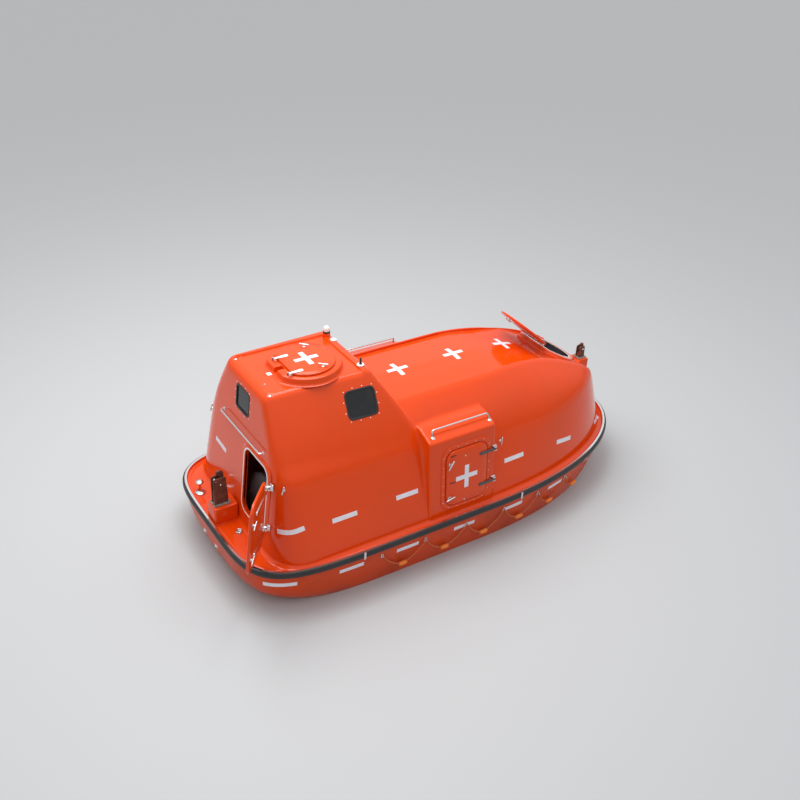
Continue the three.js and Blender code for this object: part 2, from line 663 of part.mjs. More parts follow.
// Hinge lugs on the fixed side: two cheeks and a pin at each arm
function sideHingeLugs() {
  const d = SIDE_DOOR;
  const y0 = upFace(d.z0);
  const y1 = upFace(d.z1);
  const lugs = HINGE_ARMS.map((share) => {
    const y = y0 + (y1 - y0) * share;
    const cheeks = [-1, 1].map((s) => box(
      [d.hingeX - 16, Math.min(y + s * LUG.in, y + s * LUG.out), -8],
      [d.hingeX + 16, Math.max(y + s * LUG.in, y + s * LUG.out), d.out + 14]));
    return cheeks[0].add(cheeks[1]);
  });
  return lugs[0].add(lugs[1]).transform(matrixOf(sideFrame()));
}

function sternDoorSolid() {
  const s = STERN_DOOR;
  const low = downStern(s.z0 - 12);
  const high = downStern(s.z1 + 12);
  const base = 16 + GAP;
  let leaf = plate(roundedRect(s.y0 - 12, high, s.y1 + 12, low, 140), base, base + s.thick,
    GROUND, 6);
  for (const share of [0.2, 0.8]) {
    const y = high + (low - high) * share;
    leaf = leaf.add(plate(roundedRect(s.hingeY, y - 20, s.y0 + 130, y + 20, 8),
      base + s.thick - 6, base + s.thick + 8, GROUND));
    leaf = leaf.add(rod([s.hingeY, y - 20, base + s.thick], [s.hingeY, y + 20, base + s.thick], 15));
  }
  for (const share of [0.25, 0.75]) {
    const y = high + (low - high) * share;
    leaf = leaf.add(rod([s.y1 - 45, y, base + s.thick - 6], [s.y1 - 45, y, base + s.thick + 34], 16));
    leaf = leaf.add(plate(roundedRect(s.y1 - 150, y - 10, s.y1 - 30, y + 10, 6),
      base + s.thick + 22, base + s.thick + 34, GROUND));
  }
  // swung open about its hinge line
  const swing = new THREE.Matrix4().makeTranslation(s.hingeY, 0, base + s.thick)
    .multiply(new THREE.Matrix4().makeRotationY(THREE.MathUtils.degToRad(-s.open)))
    .multiply(new THREE.Matrix4().makeTranslation(-s.hingeY, 0, -base - s.thick));
  return leaf.transform(matrixOf(sternFrame().multiply(swing)));
}

function sternHingeLugs() {
  const s = STERN_DOOR;
  const low = downStern(s.z0 - 12);
  const high = downStern(s.z1 + 12);
  const lugs = [0.2, 0.8].map((share) => {
    const y = high + (low - high) * share;
    const cheeks = [-1, 1].map((k) => box(
      [s.hingeY - 16, Math.min(y + k * LUG.in, y + k * LUG.out), -60],
      [s.hingeY + 16, Math.max(y + k * LUG.in, y + k * LUG.out), 16 + GAP + s.thick + 14]));
    return cheeks[0].add(cheeks[1]);
  });
  return lugs[0].add(lugs[1]).transform(matrixOf(sternFrame()));
}

function addDoors() {
  addSolid('starboard_door', sideDoorSolid(), gelcoat());
  addSolid('port_door', mirrorY(sideDoorSolid()), gelcoat());
  addSolid('stern_door', sternDoorSolid(), gelcoat());
  const panes = WINDOWS.map((row) => [row[0], windowPane(row)]);
  panes.push(['window_port', mirrorY(windowPane(WINDOWS[0]))]);
  for (const [name, pane] of panes) addSolid(name, pane, glass());
}

// Cheeks on the seat, either side of each of a lid's arms
function lidLugs(h, arms) {
  const x = -h.flat - LID_BACK;
  return join(arms.flatMap((y) => [-1, 1].map((k) => box(
    [x - 15, Math.min(y + k * LUG.in, y + k * LUG.out), -40],
    [x + 15, Math.max(y + k * LUG.in, y + k * LUG.out), LID_THICK + 14]))));
}

// Hatch lids
function lidSolid(h, arms) {
  let lid = plate(dShape(h.radius, h.flat), 0, LID_THICK, GROUND, 20);
  for (const y of arms) {
    lid = lid.add(plate(roundedRect(-h.flat - LID_BACK, y - 20, -h.flat + 140, y + 20, 8),
      LID_THICK - 6, LID_THICK + 8, GROUND));
    lid = lid.add(rod([-h.flat - LID_BACK, y - 20, LID_THICK], [-h.flat - LID_BACK, y + 20, LID_THICK], 14));
  }
  return lid;
}

function addHatches() {
  const roof = lidSolid(ROOF_HATCH, ROOF_ARMS);
  addSolid('roof_hatch_lid', roof.transform(matrixOf(roofHatchFrame())), gelcoat());
  const back = BOW_HATCH.flat + LID_BACK;
  const swing = new THREE.Matrix4().makeTranslation(-back, 0, LID_THICK)
    .multiply(new THREE.Matrix4().makeRotationY(THREE.MathUtils.degToRad(-BOW_HATCH.turn)))
    .multiply(new THREE.Matrix4().makeTranslation(back, 0, -LID_THICK));
  const bow = lidSolid(BOW_HATCH, BOW_ARMS);
  addSolid('bow_hatch_lid', bow.transform(matrixOf(bowHatchFrame().multiply(swing))), gelcoat());
}

// Rails: bars on short feet
function addRails() {
  const stern = sternFrame();
  const y = downStern(1742);
  const rail = bar([
    [-560, y, 0.6], [-558, y, 38], [-542, y, 50], [0, y, 50], [425, y, 50], [441, y, 38], [443, y, 0.6],
  ], 10);
  addSolid('stern_rail', rail.transform(matrixOf(stern)), steel());
  const side = bar([
    [-570, -1010, 1651.8], [-572, -1018, 1690], [-560, -1022, 1706], [-170, -1022, 1706],
    [205, -1022, 1706], [217, -1018, 1690], [215, -1010, 1651.8],
  ], 10);
  addSolid('rail_starboard', side, steel());
  addSolid('rail_port', mirrorY(side), steel());
}

// Hooks: two side plates on a base, with a jaw between them
// name, after and forward end, centre across, seat height, height and half width of the cheeks
const HOOKS = [
  { name: 'aft_hook', x0: -2790, x1: -2620, y: 40, z: 790.3, high: 440, half: 42 },
  { name: 'fore_hook', x0: 2495, x1: 2595, y: 0, z: HOOK_PAD.z + GAP, high: 210, half: 34 },
];

function addHooks() {
  for (const h of HOOKS) {
    const base = box([h.x0 - 18, h.y - h.half - 30, h.z], [h.x1 + 18, h.y + h.half + 30, h.z + 14]);
    const cheeks = [-1, 1].map((s) => box(
      [h.x0, Math.min(h.y + s * h.half, h.y + s * (h.half - 12)), h.z + 10],
      [h.x1, Math.max(h.y + s * h.half, h.y + s * (h.half - 12)), h.z + h.high * 0.82]));
    const pin = rod([(h.x0 + h.x1) / 2, h.y - h.half - 6, h.z + h.high * 0.62],
      [(h.x0 + h.x1) / 2, h.y + h.half + 6, h.z + h.high * 0.62], 13);
    addSolid(h.name, join([base, ...cheeks, pin]), rusty());
  }
}

// Jaws that turn on the hook pins
function addJaws() {
  for (const h of HOOKS) {
    const pinZ = h.z + h.high * 0.62;
    const pinX = (h.x0 + h.x1) / 2;
    const outer = new THREE.Shape();
    const r = (h.x1 - h.x0) * 0.42;
    outer.absarc(0, 0, r * 0.72, Math.PI, 2 * Math.PI, false);
    outer.lineTo(r * 0.72, h.high * 0.3);
    outer.lineTo(r * 0.1, h.high * 0.38);
    outer.lineTo(-r * 0.5, h.high * 0.34);
    outer.lineTo(-r * 0.5, h.high * 0.26);
    outer.lineTo(r * 0.1, h.high * 0.24);
    outer.lineTo(r * 0.1, r * 0.72);
    outer.lineTo(-r * 0.72, r * 0.4);
    outer.closePath();
    const upright = new THREE.Matrix4().makeBasis(
      new THREE.Vector3(1, 0, 0), new THREE.Vector3(0, 0, 1), new THREE.Vector3(0, -1, 0),
    ).setPosition(pinX, h.y, pinZ);
    const jaw = plate(outer, -14, 14, upright, 8).subtract(
      rod([pinX, h.y - 60, pinZ], [pinX, h.y + 60, pinZ], 14, 16));
    addSolid(`${h.name}_jaw`, jaw, rusty());
  }
}

// Small fittings
function addFittings() {
  addSolid('mast_light', turned([[0, 0], [46, 0], [46, 34], [36, 38], [36, 60], [38, 84],
    [24, 110], [0, 118]], [-1160, 370, TOWER_Z + 24 + GAP], 16), white());
  addSolid('antenna_post', turned([[0, 0], [42, 0], [42, 12], [14, 16], [14, 84], [0, 90]],
    [-1162, -400, TOWER_Z + 24 + GAP], 12), white());
  addSolid('bollard', turned([[0, 0], [62, 0], [62, 14], [16, 22], [16, 130], [44, 142],
    [44, 160], [0, 172]], [-2730, 590, DECK_Z + GAP], 16), steel());
  addSolid('deck_socket', turned([[0, 0], [44, 0], [44, 24], [28, 24], [28, 10], [0, 10]],
    [-2640, -300, DECK_Z + GAP], 16), steel());
}

// Helm seat above the engine cover
function addSeat() {
  const foot = box([-1640, -90, BENCH_Z + 40 + GAP], [-1460, 90, 800]);
  const cushion = box([-1760, -230, 790], [-1330, 230, 880]);
  const back = box([-1790, -220, 800], [-1710, 220, 1330]);
  addSolid('helm_seat', join([foot, cushion, back]), greyTrim());
}

// Propeller, its shaft and the steering nozzle
function addDrive() {
  const shaft = rod([-2345, 0, SHAFT_Z], [-1905, 0, SHAFT_Z], 20, 12)
    .add(rod([-2260, 0, SHAFT_Z], [-1905, 0, SHAFT_Z], 26, 12));
  addSolid('stern_tube', shaft, bronze());
  const hub = rod([-2430, 0, SHAFT_Z], [-2345 - GAP, 0, SHAFT_Z], 30, 12);
  const blades = Array.from({ length: BLADE.count }, (_, i) => {
    const shape = new THREE.Shape();
    shape.absellipse(0, BLADE.middle, BLADE.wide, BLADE.long, 0, 2 * Math.PI, false);
    const blade = plate(shape, -BLADE.thick / 2, BLADE.thick / 2, GROUND, 8);
    const turn = new THREE.Matrix4().makeTranslation(PROP_X, 0, SHAFT_Z)
      .multiply(new THREE.Matrix4().makeRotationX(2 * Math.PI / BLADE.count * i))
      .multiply(new THREE.Matrix4().makeRotationY(BLADE.pitch));
    return blade.transform(matrixOf(turn));
  });
  addSolid('propeller', join([hub, ...blades]), bronze());
  const n = NOZZLE;
  const section = [[n.inner, -n.length / 2], [n.inner + n.thick, -n.length / 2],
    [n.inner + n.thick, n.length / 2], [n.inner, n.length / 2], [n.inner, -n.length / 2]];
  const ringGeometry = new THREE.LatheGeometry(section.map(([r, x]) => new THREE.Vector2(r, x)), 32);
  ringGeometry.rotateZ(Math.PI / 2);
  ringGeometry.translate(n.x, 0, SHAFT_Z);
  const top = SHAFT_Z + n.inner + n.thick;
  const stock = rod([n.x, 0, top - 6], [n.x, 0, 60], 22, 16);
  const fin = box([n.x - 230, -6, SHAFT_Z - n.inner - 8], [n.x - n.length / 2 + 4, 6, SHAFT_Z + n.inner + 8]);
  const pintle = rod([n.x, 0, KEEL_Z + 4], [n.x, 0, SHAFT_Z - n.inner - 6], 12, 12);
  addSolid('steering_nozzle', join([solidOf(ringGeometry), stock, fin, pintle]), gelcoat());
}

// Lifelines: rope in loops between eyes on the hull, with a float in each loop
const EYES = [-1350, -765, -180, 380, 940, 1460];
const LINE_Z = 430;
const SAG = 250;

// Distance from the centreline to the port side of the hull at a station and height
function hullSide(x, z) {
  const inward = new THREE.Raycaster(new THREE.Vector3(x, BEAM, z), new THREE.Vector3(0, -1, 0));
  return inward.intersectObject(hullMesh)[0].point.y;
}

function lifeline() {
  const points = [];
  const rows = [...EYES, 1960];
  for (let i = 0; i + 1 < rows.length; i++) {
    for (const t of [0, 0.25, 0.5, 0.75]) {
      const x = rows[i] + (rows[i + 1] - rows[i]) * t;
      const z = LINE_Z - SAG * 4 * t * (1 - t);
      points.push([x, hullSide(x, z) + 22, z]);
    }
  }
  points.push([1960, hullSide(1960, LINE_Z) + 22, LINE_Z]);
  const rope = bar(points, 7, { sides: 4, steps: 36, tension: 0.5 });
  const parts = [rope];
  for (let i = 0; i + 1 < rows.length; i++) {
    const x = (rows[i] + rows[i + 1]) / 2;
    const z = LINE_Z - SAG;
    const ends = [x - 55, x + 55].map((end) => [end, hullSide(end, z) + 36, z]);
    parts.push(rod(...ends, 26, 8));
  }
  for (const x of rows) {
    const corners = [-10, 0, 10].flatMap((dx) => [-60, -25, 10].map((dz) => [dx, dz]));
    const y = Math.max(...corners.map(([dx, dz]) => hullSide(x + dx, LINE_Z + dz))) + 0.85;
    parts.push(box([x - 10, y, LINE_Z - 60], [x + 10, y + 30, LINE_Z + 10]));
  }
  return join(parts);
}

function addLifelines() {
  addSolid('lifeline_port', lifeline(), paint(0xd8541e, 0.8, 0));
  addSolid('lifeline_starboard', mirrorY(lifeline()), paint(0xd8541e, 0.8, 0));
}

addHull();
addDeck();
addFender();
addCanopy();
addDoors();
addHatches();
addRails();
addHooks();
addJaws();
addFittings();
addSeat();
addDrive();
addLifelines();

export default group;
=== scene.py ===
"""Totally enclosed lifeboat, afloat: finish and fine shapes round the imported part.
Metres. +X is the bow, +Y is port, +Z is up, and the origin is amidships at the waterline."""
import math

import bmesh
import bpy
import numpy as np
from mathutils import Matrix, Vector


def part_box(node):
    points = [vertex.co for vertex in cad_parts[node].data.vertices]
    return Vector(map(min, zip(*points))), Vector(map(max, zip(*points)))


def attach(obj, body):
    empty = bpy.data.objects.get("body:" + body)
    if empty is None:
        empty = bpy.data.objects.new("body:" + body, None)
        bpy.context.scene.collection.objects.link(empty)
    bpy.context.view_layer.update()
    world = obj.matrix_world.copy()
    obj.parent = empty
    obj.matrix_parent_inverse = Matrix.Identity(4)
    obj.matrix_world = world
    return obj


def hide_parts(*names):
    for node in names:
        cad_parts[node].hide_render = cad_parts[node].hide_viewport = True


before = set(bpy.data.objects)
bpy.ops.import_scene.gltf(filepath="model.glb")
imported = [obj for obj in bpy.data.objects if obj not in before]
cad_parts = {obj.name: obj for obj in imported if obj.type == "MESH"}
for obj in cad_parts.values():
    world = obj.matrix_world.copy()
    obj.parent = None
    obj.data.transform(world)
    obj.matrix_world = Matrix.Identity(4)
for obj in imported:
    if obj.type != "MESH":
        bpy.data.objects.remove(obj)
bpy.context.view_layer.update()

# The photograph's camera, in pixels of its 800 x 800 frame, and where it stands
PHOTO_SIDE = 800
FOCAL = 981.1
AXIS_BELOW_MIDDLE = 15
EYE = Vector((-5.974, -8.330, 7.757))
YAW, PITCH, ROLL = (math.radians(a) for a in (55.912, 32.868, 3.041))
SENSOR = 36.0

# Driving sizes of the hull and canopy
GUNWALE_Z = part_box("side_deck")[0].z
DECK_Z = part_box("side_deck")[1].z
KEEL_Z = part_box("hull_shell")[0].z
WALL = 0.03
HULL_HALF_LENGTH = 2.86
HULL_HALF_BEAM = 1.31
AFT_CURVE = (7.28, 4.75)
FORE_CURVE = (2.44, 1.95)
HULL = {"flare": (0.13, 0.12), "bow": (0.24, 0.18), "stern": (0.03, 0.1), "bottom": -0.5, "vee": 0.11,
        "aft_rise": (0.27, 1.15, 0.5), "fore_rise": (0.154, 0.9), "bilge": 0.33}
CANOPY_HALF = 1.215
CANOPY_LEAN = (0.25, 0.035)
CANOPY_CORNER = (0.42, 0.12)
EVEN = 0.96                        # brings a sloping side's field back to a distance
SOFT, SHARP = 0.03, 0.012          # rounds between parts of the shell
CANOPY_BOW = 2.77
BOW_LEAN = 0.31
FULLER = 0.6
# Raised edges of the walkway, and its floor: level amidships, the bow hatch's plane, the nose
EDGE = {"z": 1.925, "fore_z": 1.557, "fore_x": 2.1, "fall": 0.5, "round": 0.36, "half": 0.575,
        "fore_half": 0.47, "narrow_x": (0.55, 1.3), "slope": 0.8, "inset": 0.03, "end": 2.40}
FLOOR = {"z": 1.935, "seat_x": 1.915, "seat_z": 1.598, "slope": 0.53, "round": 0.36,
         "camber": 0.105, "level_x": (1.0, 1.45), "ridge": 0.06, "nose_x": 2.33, "nose_z": 1.372,
         "nose_slope": 0.6, "nose_round": 0.08}
STERN = {"x": -2.36, "z": 2.37, "lean": 0.1}
TOWER = {"z": 2.37, "half": 0.48, "flare": 0.03, "side": 0.588, "front_x": -1.10, "front_lean": 0.61,
         "side_even": 0.862, "front_even": 0.853, "round": 0.05}
LIP = {"high": 0.022, "y": 0.41, "x": -1.2, "run": 0.01}
MAST_Z = TOWER["z"] + 0.0243
COVE = 0.045
DOOR_BOX = {"x0": -0.68, "x1": 0.24, "foot_y": 1.222, "top_y": 1.13, "top": 1.605,
            "inner_y": 0.9, "inner_z": 1.69}
HOOK_PAD = {"x0": 2.465, "x1": 2.625, "half": 0.095, "z": 1.312}
SPINE = {"aft": -2.15, "fore": 1.95}

# Thin films, cuts, fixings and clearances
FILM = 0.0009
TAPE_WIDTH = 0.055
GASKET = 0.016
DOOR_CUT = 0.034
STERN_CUT = 0.026
SCREW = 0.006
RAIL_RADIUS = 0.0105
RUBBER_TRIM = 0.052
FLANGE_DROP = 0.006
CLEAR = 0.0003
NEAR = 1e-5


# Fields: negative inside, about the distance in metres outside
def soft_max(a, b, k):
    near = np.maximum(k - np.abs(a - b), 0) / k
    return np.maximum(a, b) + near * near * k / 4


def soft_min(a, b, k):
    return -soft_max(-a, -b, k)


def ramp(t, t0, t1, a, b):
    return a + (b - a) * np.clip((t - t0) / (t1 - t0), 0, 1)


def smooth_step(t, middle, run):
    s = np.clip((t - middle) / run + 0.5, 0, 1)
    return s * s * (3 - 2 * s)


def plan_field(x, y, bow, stern, half, fuller=0.0):
    ahead = x > 0
    p = np.where(ahead, FORE_CURVE[0] + fuller, AFT_CURVE[0])
    q = np.where(ahead, FORE_CURVE[1] + 0.3 * fuller, AFT_CURVE[1])
    reach = np.where(ahead, bow, stern)
    u = (np.abs(x) / reach) ** p + (np.abs(y) / half) ** q
    return (u ** (1 / q) - 1) * half


def edge_half(x):
    return ramp(x, *EDGE["narrow_x"], EDGE["half"], EDGE["fore_half"])


def edge_z(x):
    return soft_min(EDGE["z"], EDGE["fore_z"] + EDGE["fall"] * (EDGE["fore_x"] - x), EDGE["round"])


def floor_z(x, y):
    line = soft_min(FLOOR["z"], FLOOR["seat_z"] + FLOOR["slope"] * (FLOOR["seat_x"] - x), FLOOR["round"])
    line = soft_min(line, FLOOR["nose_z"] + FLOOR["nose_slope"] * (FLOOR["nose_x"] - x),
                    FLOOR["nose_round"])
    camber = ramp(x, *FLOOR["level_x"], FLOOR["camber"], 0)
    return line - camber * (np.hypot(y, FLOOR["ridge"]) - FLOOR["ridge"])


def crown_field(x, y, z, top):
    """Roof up to a height, falling away outside its edges."""
    fall = EDGE["slope"] * (np.abs(y) - edge_half(x))
    return soft_max(z - top, (z - edge_z(x) + fall) / np.hypot(1, EDGE["slope"]), 0.04)


def roof_field(x, y, z):
    """Walkway between two raised edges, open at its forward end."""
    floor = floor_z(x, y)
    across = soft_min(np.abs(y) - edge_half(x) + EDGE["inset"], EDGE["end"] - x, SOFT)
    recess = soft_max(floor - z, across, SHARP)
    return soft_max(crown_field(x, y, z, np.maximum(edge_z(x), floor)), -recess, SHARP)


def stern_x(z):
    return STERN["x"] - STERN["lean"] * (STERN["z"] - z)


def wall_field(x, y, z):
    rise = z - DECK_Z
    half = CANOPY_HALF - CANOPY_LEAN[0] * rise - CANOPY_LEAN[1] * rise * rise
    fore = plan_field(x, y, CANOPY_BOW - BOW_LEAN * rise, 1, half, FULLER * np.maximum(rise, 0))
    side = np.where(x > 0, fore, np.abs(y) - half)
    return soft_max(EVEN * side, stern_x(z) - x, ramp(rise, 0, 1.8, *CANOPY_CORNER))


def tower_field(x, y, z):
    """Wheelhouse over the after part, with the raised lip along its port and forward edges."""
    t = TOWER
    half = t["half"] + t["flare"] * (x - STERN["x"])
    upper = (np.abs(y) - half - t["side"] * (t["z"] - z)) * t["side_even"]
    front = (x - t["front_x"] - t["front_lean"] * (t["z"] - z)) * t["front_even"]
    lip = np.maximum(smooth_step(y, LIP["y"], LIP["run"]), smooth_step(x, LIP["x"], LIP["run"]))
    return soft_max(soft_max(upper, front, t["round"]), z - t["z"] - LIP["high"] * lip, t["round"])


def door_box_field(x, y, z):
    b = DOOR_BOX
    lean = (b["foot_y"] - b["top_y"]) / (b["top"] - DECK_Z)
    side = (np.abs(y) - b["foot_y"] + lean * (z - DECK_Z)) / np.hypot(1, lean)
    drop = (b["inner_z"] - b["top"]) / (b["top_y"] - b["inner_y"])
    top = (z - b["top"] + drop * (np.abs(y) - b["top_y"])) / np.hypot(1, drop)
    top = soft_max(top, z - b["inner_z"], 0.01)
    ends = np.abs(x - (b["x0"] + b["x1"]) / 2) - (b["x1"] - b["x0"]) / 2
    return soft_max(soft_max(side, top, SOFT), ends, SOFT)


def hook_pad_field(x, y, z):
    p = HOOK_PAD
    ends = np.abs(x - (p["x0"] + p["x1"]) / 2) - (p["x1"] - p["x0"]) / 2
    return soft_max(soft_max(ends, np.abs(y) - p["half"], 0.015), z - p["z"], 0.01)


def shell_field(x, y, z, roof):
    top = soft_min(roof, tower_field(x, y, z), SOFT)
    aft = ramp(x, -0.9, -0.4, 0.12, 0.25)
    fore = ramp(x, 1.0, 2.0, 0.25, 0.06)
    shell = soft_max(wall_field(x, y, z), top, np.where(x < 0, aft, fore))
    return soft_min(soft_min(shell, door_box_field(x, y, z), 0.02), hook_pad_field(x, y, z), 0.025)


def canopy_field(x, y, z):
    low = np.clip(COVE - (z - DECK_Z), 0, COVE)
    return shell_field(x, y, z, roof_field(x, y, z)) - (COVE - np.sqrt(COVE**2 - low**2))


def lining_field(x, y, z):
    return shell_field(x, y, z, crown_field(x, y, z, floor_z(x, y)))


def hull_field(x, y, z):
    drop, h = GUNWALE_Z - z, HULL
    flare = h["flare"][0] * drop + h["flare"][1] * drop * drop
    bow, stern = [HULL_HALF_LENGTH - a * drop - b * drop * drop for a, b in (h["bow"], h["stern"])]
    side = plan_field(x, y, bow, stern, HULL_HALF_BEAM - flare)
    (aft, aft_x, run), (fore, fore_x) = h["aft_rise"], h["fore_rise"]
    rise = aft * soft_max(0, -x - aft_x, run) + fore * np.maximum(x - fore_x, 0) ** 2
    bottom = (h["bottom"] + h["vee"] * np.abs(y) + rise - z) * EVEN
    return soft_max(side, bottom, h["bilge"])


def slope_of(field, p, step=4e-4):
    """Gradient of a field at each row of p."""
    out = np.empty_like(p)
    for axis in range(3):
        d = np.zeros(3)
        d[axis] = step
        out[:, axis] = (field(*(p + d).T) - field(*(p - d).T)) / (2 * step)
    return out


def onto(field, p, along=None, lift=0.0, rounds=8):
    """Points moved to the field's surface, down its slope or along one direction."""
    p = np.array(p, float)
    for _ in range(rounds):
        value = field(*p.T) - lift
        slope = slope_of(field, p)
        if along is None:
            p -= (value / (slope**2).sum(1))[:, None] * slope
        else:
            p -= np.outer(value / (slope @ along), along)
    return p


def unit(v):
    v = np.asarray(v, float)
    return v / np.linalg.norm(v, axis=-1, keepdims=True)


# Forms are pairs of points and faces
def grid(rows, capped=False):
    """Rings of points joined into quads, with both ends closed when capped."""
    rows = np.asarray(rows, float)
    r, n = rows.shape[:2]
    faces = [(i * n + j, i * n + (j + 1) % n, (i + 1) * n + (j + 1) % n, (i + 1) * n + j)
             for i in range(r - 1) for j in range(n)]
    if capped:
        faces += [tuple(range(n))[::-1], tuple((r - 1) * n + j for j in range(n))]
    return rows.reshape(-1, 3), faces


def joined(*forms):
    points, faces, base = [], [], 0
    for p, f in forms:
        points.append(np.asarray(p, float))
        faces += [tuple(i + base for i in face) for face in f]
        base += len(p)
    return np.concatenate(points), faces


def mirrored(form):
    points, faces = form
    return points * (1, -1, 1), [face[::-1] for face in faces]


def frame_at(origin, along, normal):
    """3 x 4 placement: columns are the frame's x, y, outward normal and origin."""
    z = unit(normal)
    x = unit(along)
    return np.column_stack([x, np.cross(z, x), z, origin])


def in_frame(flat, height, at):
    """Rows of x and y, and heights, put in a frame."""
    flat = np.asarray(flat, float)
    height = np.broadcast_to(height, len(flat))
    return np.column_stack([flat, height]) @ at[:, :3].T + at[:, 3]


def moved(at, x, y, high=0.0):
    """The same placement with its origin elsewhere in it."""
    out = at.copy()
    out[:, 3] = in_frame([(x, y)], high, at)[0]
    return out


def standing(x, y, z):
    return frame_at((x, y, z), (1, 0, 0), (0, 0, 1))


def arc(centre, radius, a0, a1, n):
    a = np.linspace(a0, a1, n + 1)
    return np.column_stack([centre[0] + radius * np.cos(a), centre[1] + radius * np.sin(a)])


def hoop(radius, n):
    return arc((0, 0), radius, 0, 2 * math.pi, n)[:-1]


def rounded(x0, y0, x1, y1, r, n=8):
    """Outline of a rectangle with round corners."""
    q = math.pi / 2
    corners = [(x1 - r, y0 + r), (x1 - r, y1 - r), (x0 + r, y1 - r), (x0 + r, y0 + r)]
    return np.concatenate([arc(c, r, k * q, (k + 1) * q, n) for k, c in enumerate(corners, -1)])


def dee(radius, flat, n=72):
    """Outline of a disc with one straight edge towards -x."""
    open_ = math.pi - math.acos(flat / radius)
    round_ = arc((0, 0), radius, -open_, open_, n)
    straight = np.linspace(round_[-1], round_[0], 14)[1:-1]
    return np.concatenate([round_, straight])


def inset(outline, by):
    """An outline moved inwards."""
    t = unit(np.roll(outline, -1, 0) - np.roll(outline, 1, 0))
    return outline + by * np.column_stack([-t[:, 1], t[:, 0]])


def banked(outline, profile, at):
    """A flat outline carried through rows of inset and height."""
    return grid([in_frame(inset(outline, by), 0.0, at) + high * at[:, 2] for by, high in profile], True)


def plug(outline, at, low, high):
    """An outline pushed along the frame's normal."""
    return grid([in_frame(outline, low, at), in_frame(outline, high, at)], True)


def plate(outline, low, high, at):
    """A thin plate with its upper edge taken off."""
    return banked(outline, [(0, low), (0, high), (0.001, high + 0.001)], at)


def band(outer, inner, profile, at, field=None):
    """A flat ring: rows are the share from the outer to the inner outline, and height."""
    rows = []
    for share, height in profile:
        points = in_frame(outer + (inner - outer) * share, 0.0, at)
        if field is not None:
            points = onto(field, points, at[:, 2])
        rows.append(points + height * at[:, 2])
    rows.append(rows[0])
    return grid(rows)


def turned(profile, at, sides=32):
    """A body turned about the frame's normal: rows of radius and height."""
    return grid([in_frame(hoop(max(radius, 1e-6), sides), height, at) for radius, height in profile], True)


def make_object(name, form, edges=()):
    mesh = bpy.data.meshes.new(name)
    points, faces = form
    mesh.from_pydata([tuple(p) for p in points], list(edges), faces)
    made = bpy.data.objects.new(name, mesh)
    bpy.context.scene.collection.objects.link(made)
    return made


def applied(made):
    """The piece keeps what its modifiers make of it."""
    bpy.context.view_layer.update()
    mesh = bpy.data.meshes.new_from_object(made.evaluated_get(bpy.context.evaluated_depsgraph_get()))
    made.modifiers.clear()
    made.data = mesh


def read(items, label, width=3, kind=float):
    """One property of every item, as an array of rows."""
    values = np.empty(len(items) * width, kind)
    items.foreach_get(label, values)
    return values if width == 1 else values.reshape(-1, width)


def cleaned(mesh, crease=32.0, bevel=0.0):
    """Doubles merged, faces turned out, edges over the crease angle rounded or kept sharp."""
    bm = bmesh.new()
    bm.from_mesh(mesh)
    bmesh.ops.remove_doubles(bm, verts=bm.verts, dist=NEAR)
    bmesh.ops.dissolve_degenerate(bm, edges=bm.edges, dist=NEAR)
    bmesh.ops.recalc_face_normals(bm, faces=bm.faces)
    limit = math.radians(crease)
    if bevel:
        corners = [e for e in bm.edges if e.calc_face_angle(0) > limit]
        bmesh.ops.bevel(bm, geom=corners, offset=bevel, segments=2, affect="EDGES", profile=0.5,
                        clamp_overlap=True)
    for edge in bm.edges:
        edge.smooth = edge.calc_face_angle(0) < limit
    for face in bm.faces:
        face.smooth = True
    bm.to_mesh(mesh)
    bm.free()


def kept(made, material, body="boat", stands_for=()):
    """Finish, body and replaced nodes of a piece."""
    made.data.materials.clear()
    made.data.materials.append(material)
    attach(made, body)
    if stands_for:
        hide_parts(*stands_for)
    return made


def piece(name, form, material, body="boat", stands_for=(), slot=None, **shape):
    made = make_object(name, form)
    cleaned(made.data, **shape)
    return kept(made, material, body, stands_for)


# Node trees and materials
def put(tree, socket, value):
    """Links an input to another node's output, or sets it."""
    if isinstance(value, bpy.types.NodeSocket):
        tree.links.new(value, socket)
    else:
        socket.default_value = (*value, 1.0) if isinstance(value, tuple) else value


def wired(tree, kind, inputs=None, **settings):
    """A node with its settings, and its inputs linked or set by name."""
    node = tree.nodes.new(kind)
    for label, value in settings.items():
        setattr(node, label, value)
    for label, value in (inputs or {}).items():
        put(tree, node.inputs[label], value)
    return node


def new_tree(name, kind, inputs, outputs):
    """A tree with its sockets, from rows of label and type; its inner ends come with it."""
    tree = bpy.data.node_groups.new(name, kind)
    for way, rows in (("INPUT", inputs), ("OUTPUT", outputs)):
        for label, socket in rows:
            tree.interface.new_socket(name=label, in_out=way, socket_type="NodeSocket" + socket)
    return tree, tree.nodes.new("NodeGroupInput").outputs, tree.nodes.new("NodeGroupOutput").inputs


def math_node(tree, kind, a, b, clamp=False):
    return wired(tree, "ShaderNodeMath", {0: a, 1: b}, operation=kind, use_clamp=clamp).outputs[0]


def noise(tree, vector, scale, detail, rough=0.55):
    return wired(tree, "ShaderNodeTexNoise", {
        "Vector": vector, "Scale": scale, "Detail": detail, "Roughness": rough}).outputs["Fac"]


def between(tree, value, low, high):
    """A value stretched so that low gives 0 and high gives 1."""
    return wired(tree, "ShaderNodeMapRange", {
        "Value": value, "From Min": low, "From Max": high}, clamp=True).outputs["Result"]


def mixed(tree, share, a, b):
    return wired(tree, "ShaderNodeMix", {"Factor": share, "A": a, "B": b}, data_type="RGBA").outputs["Result"]


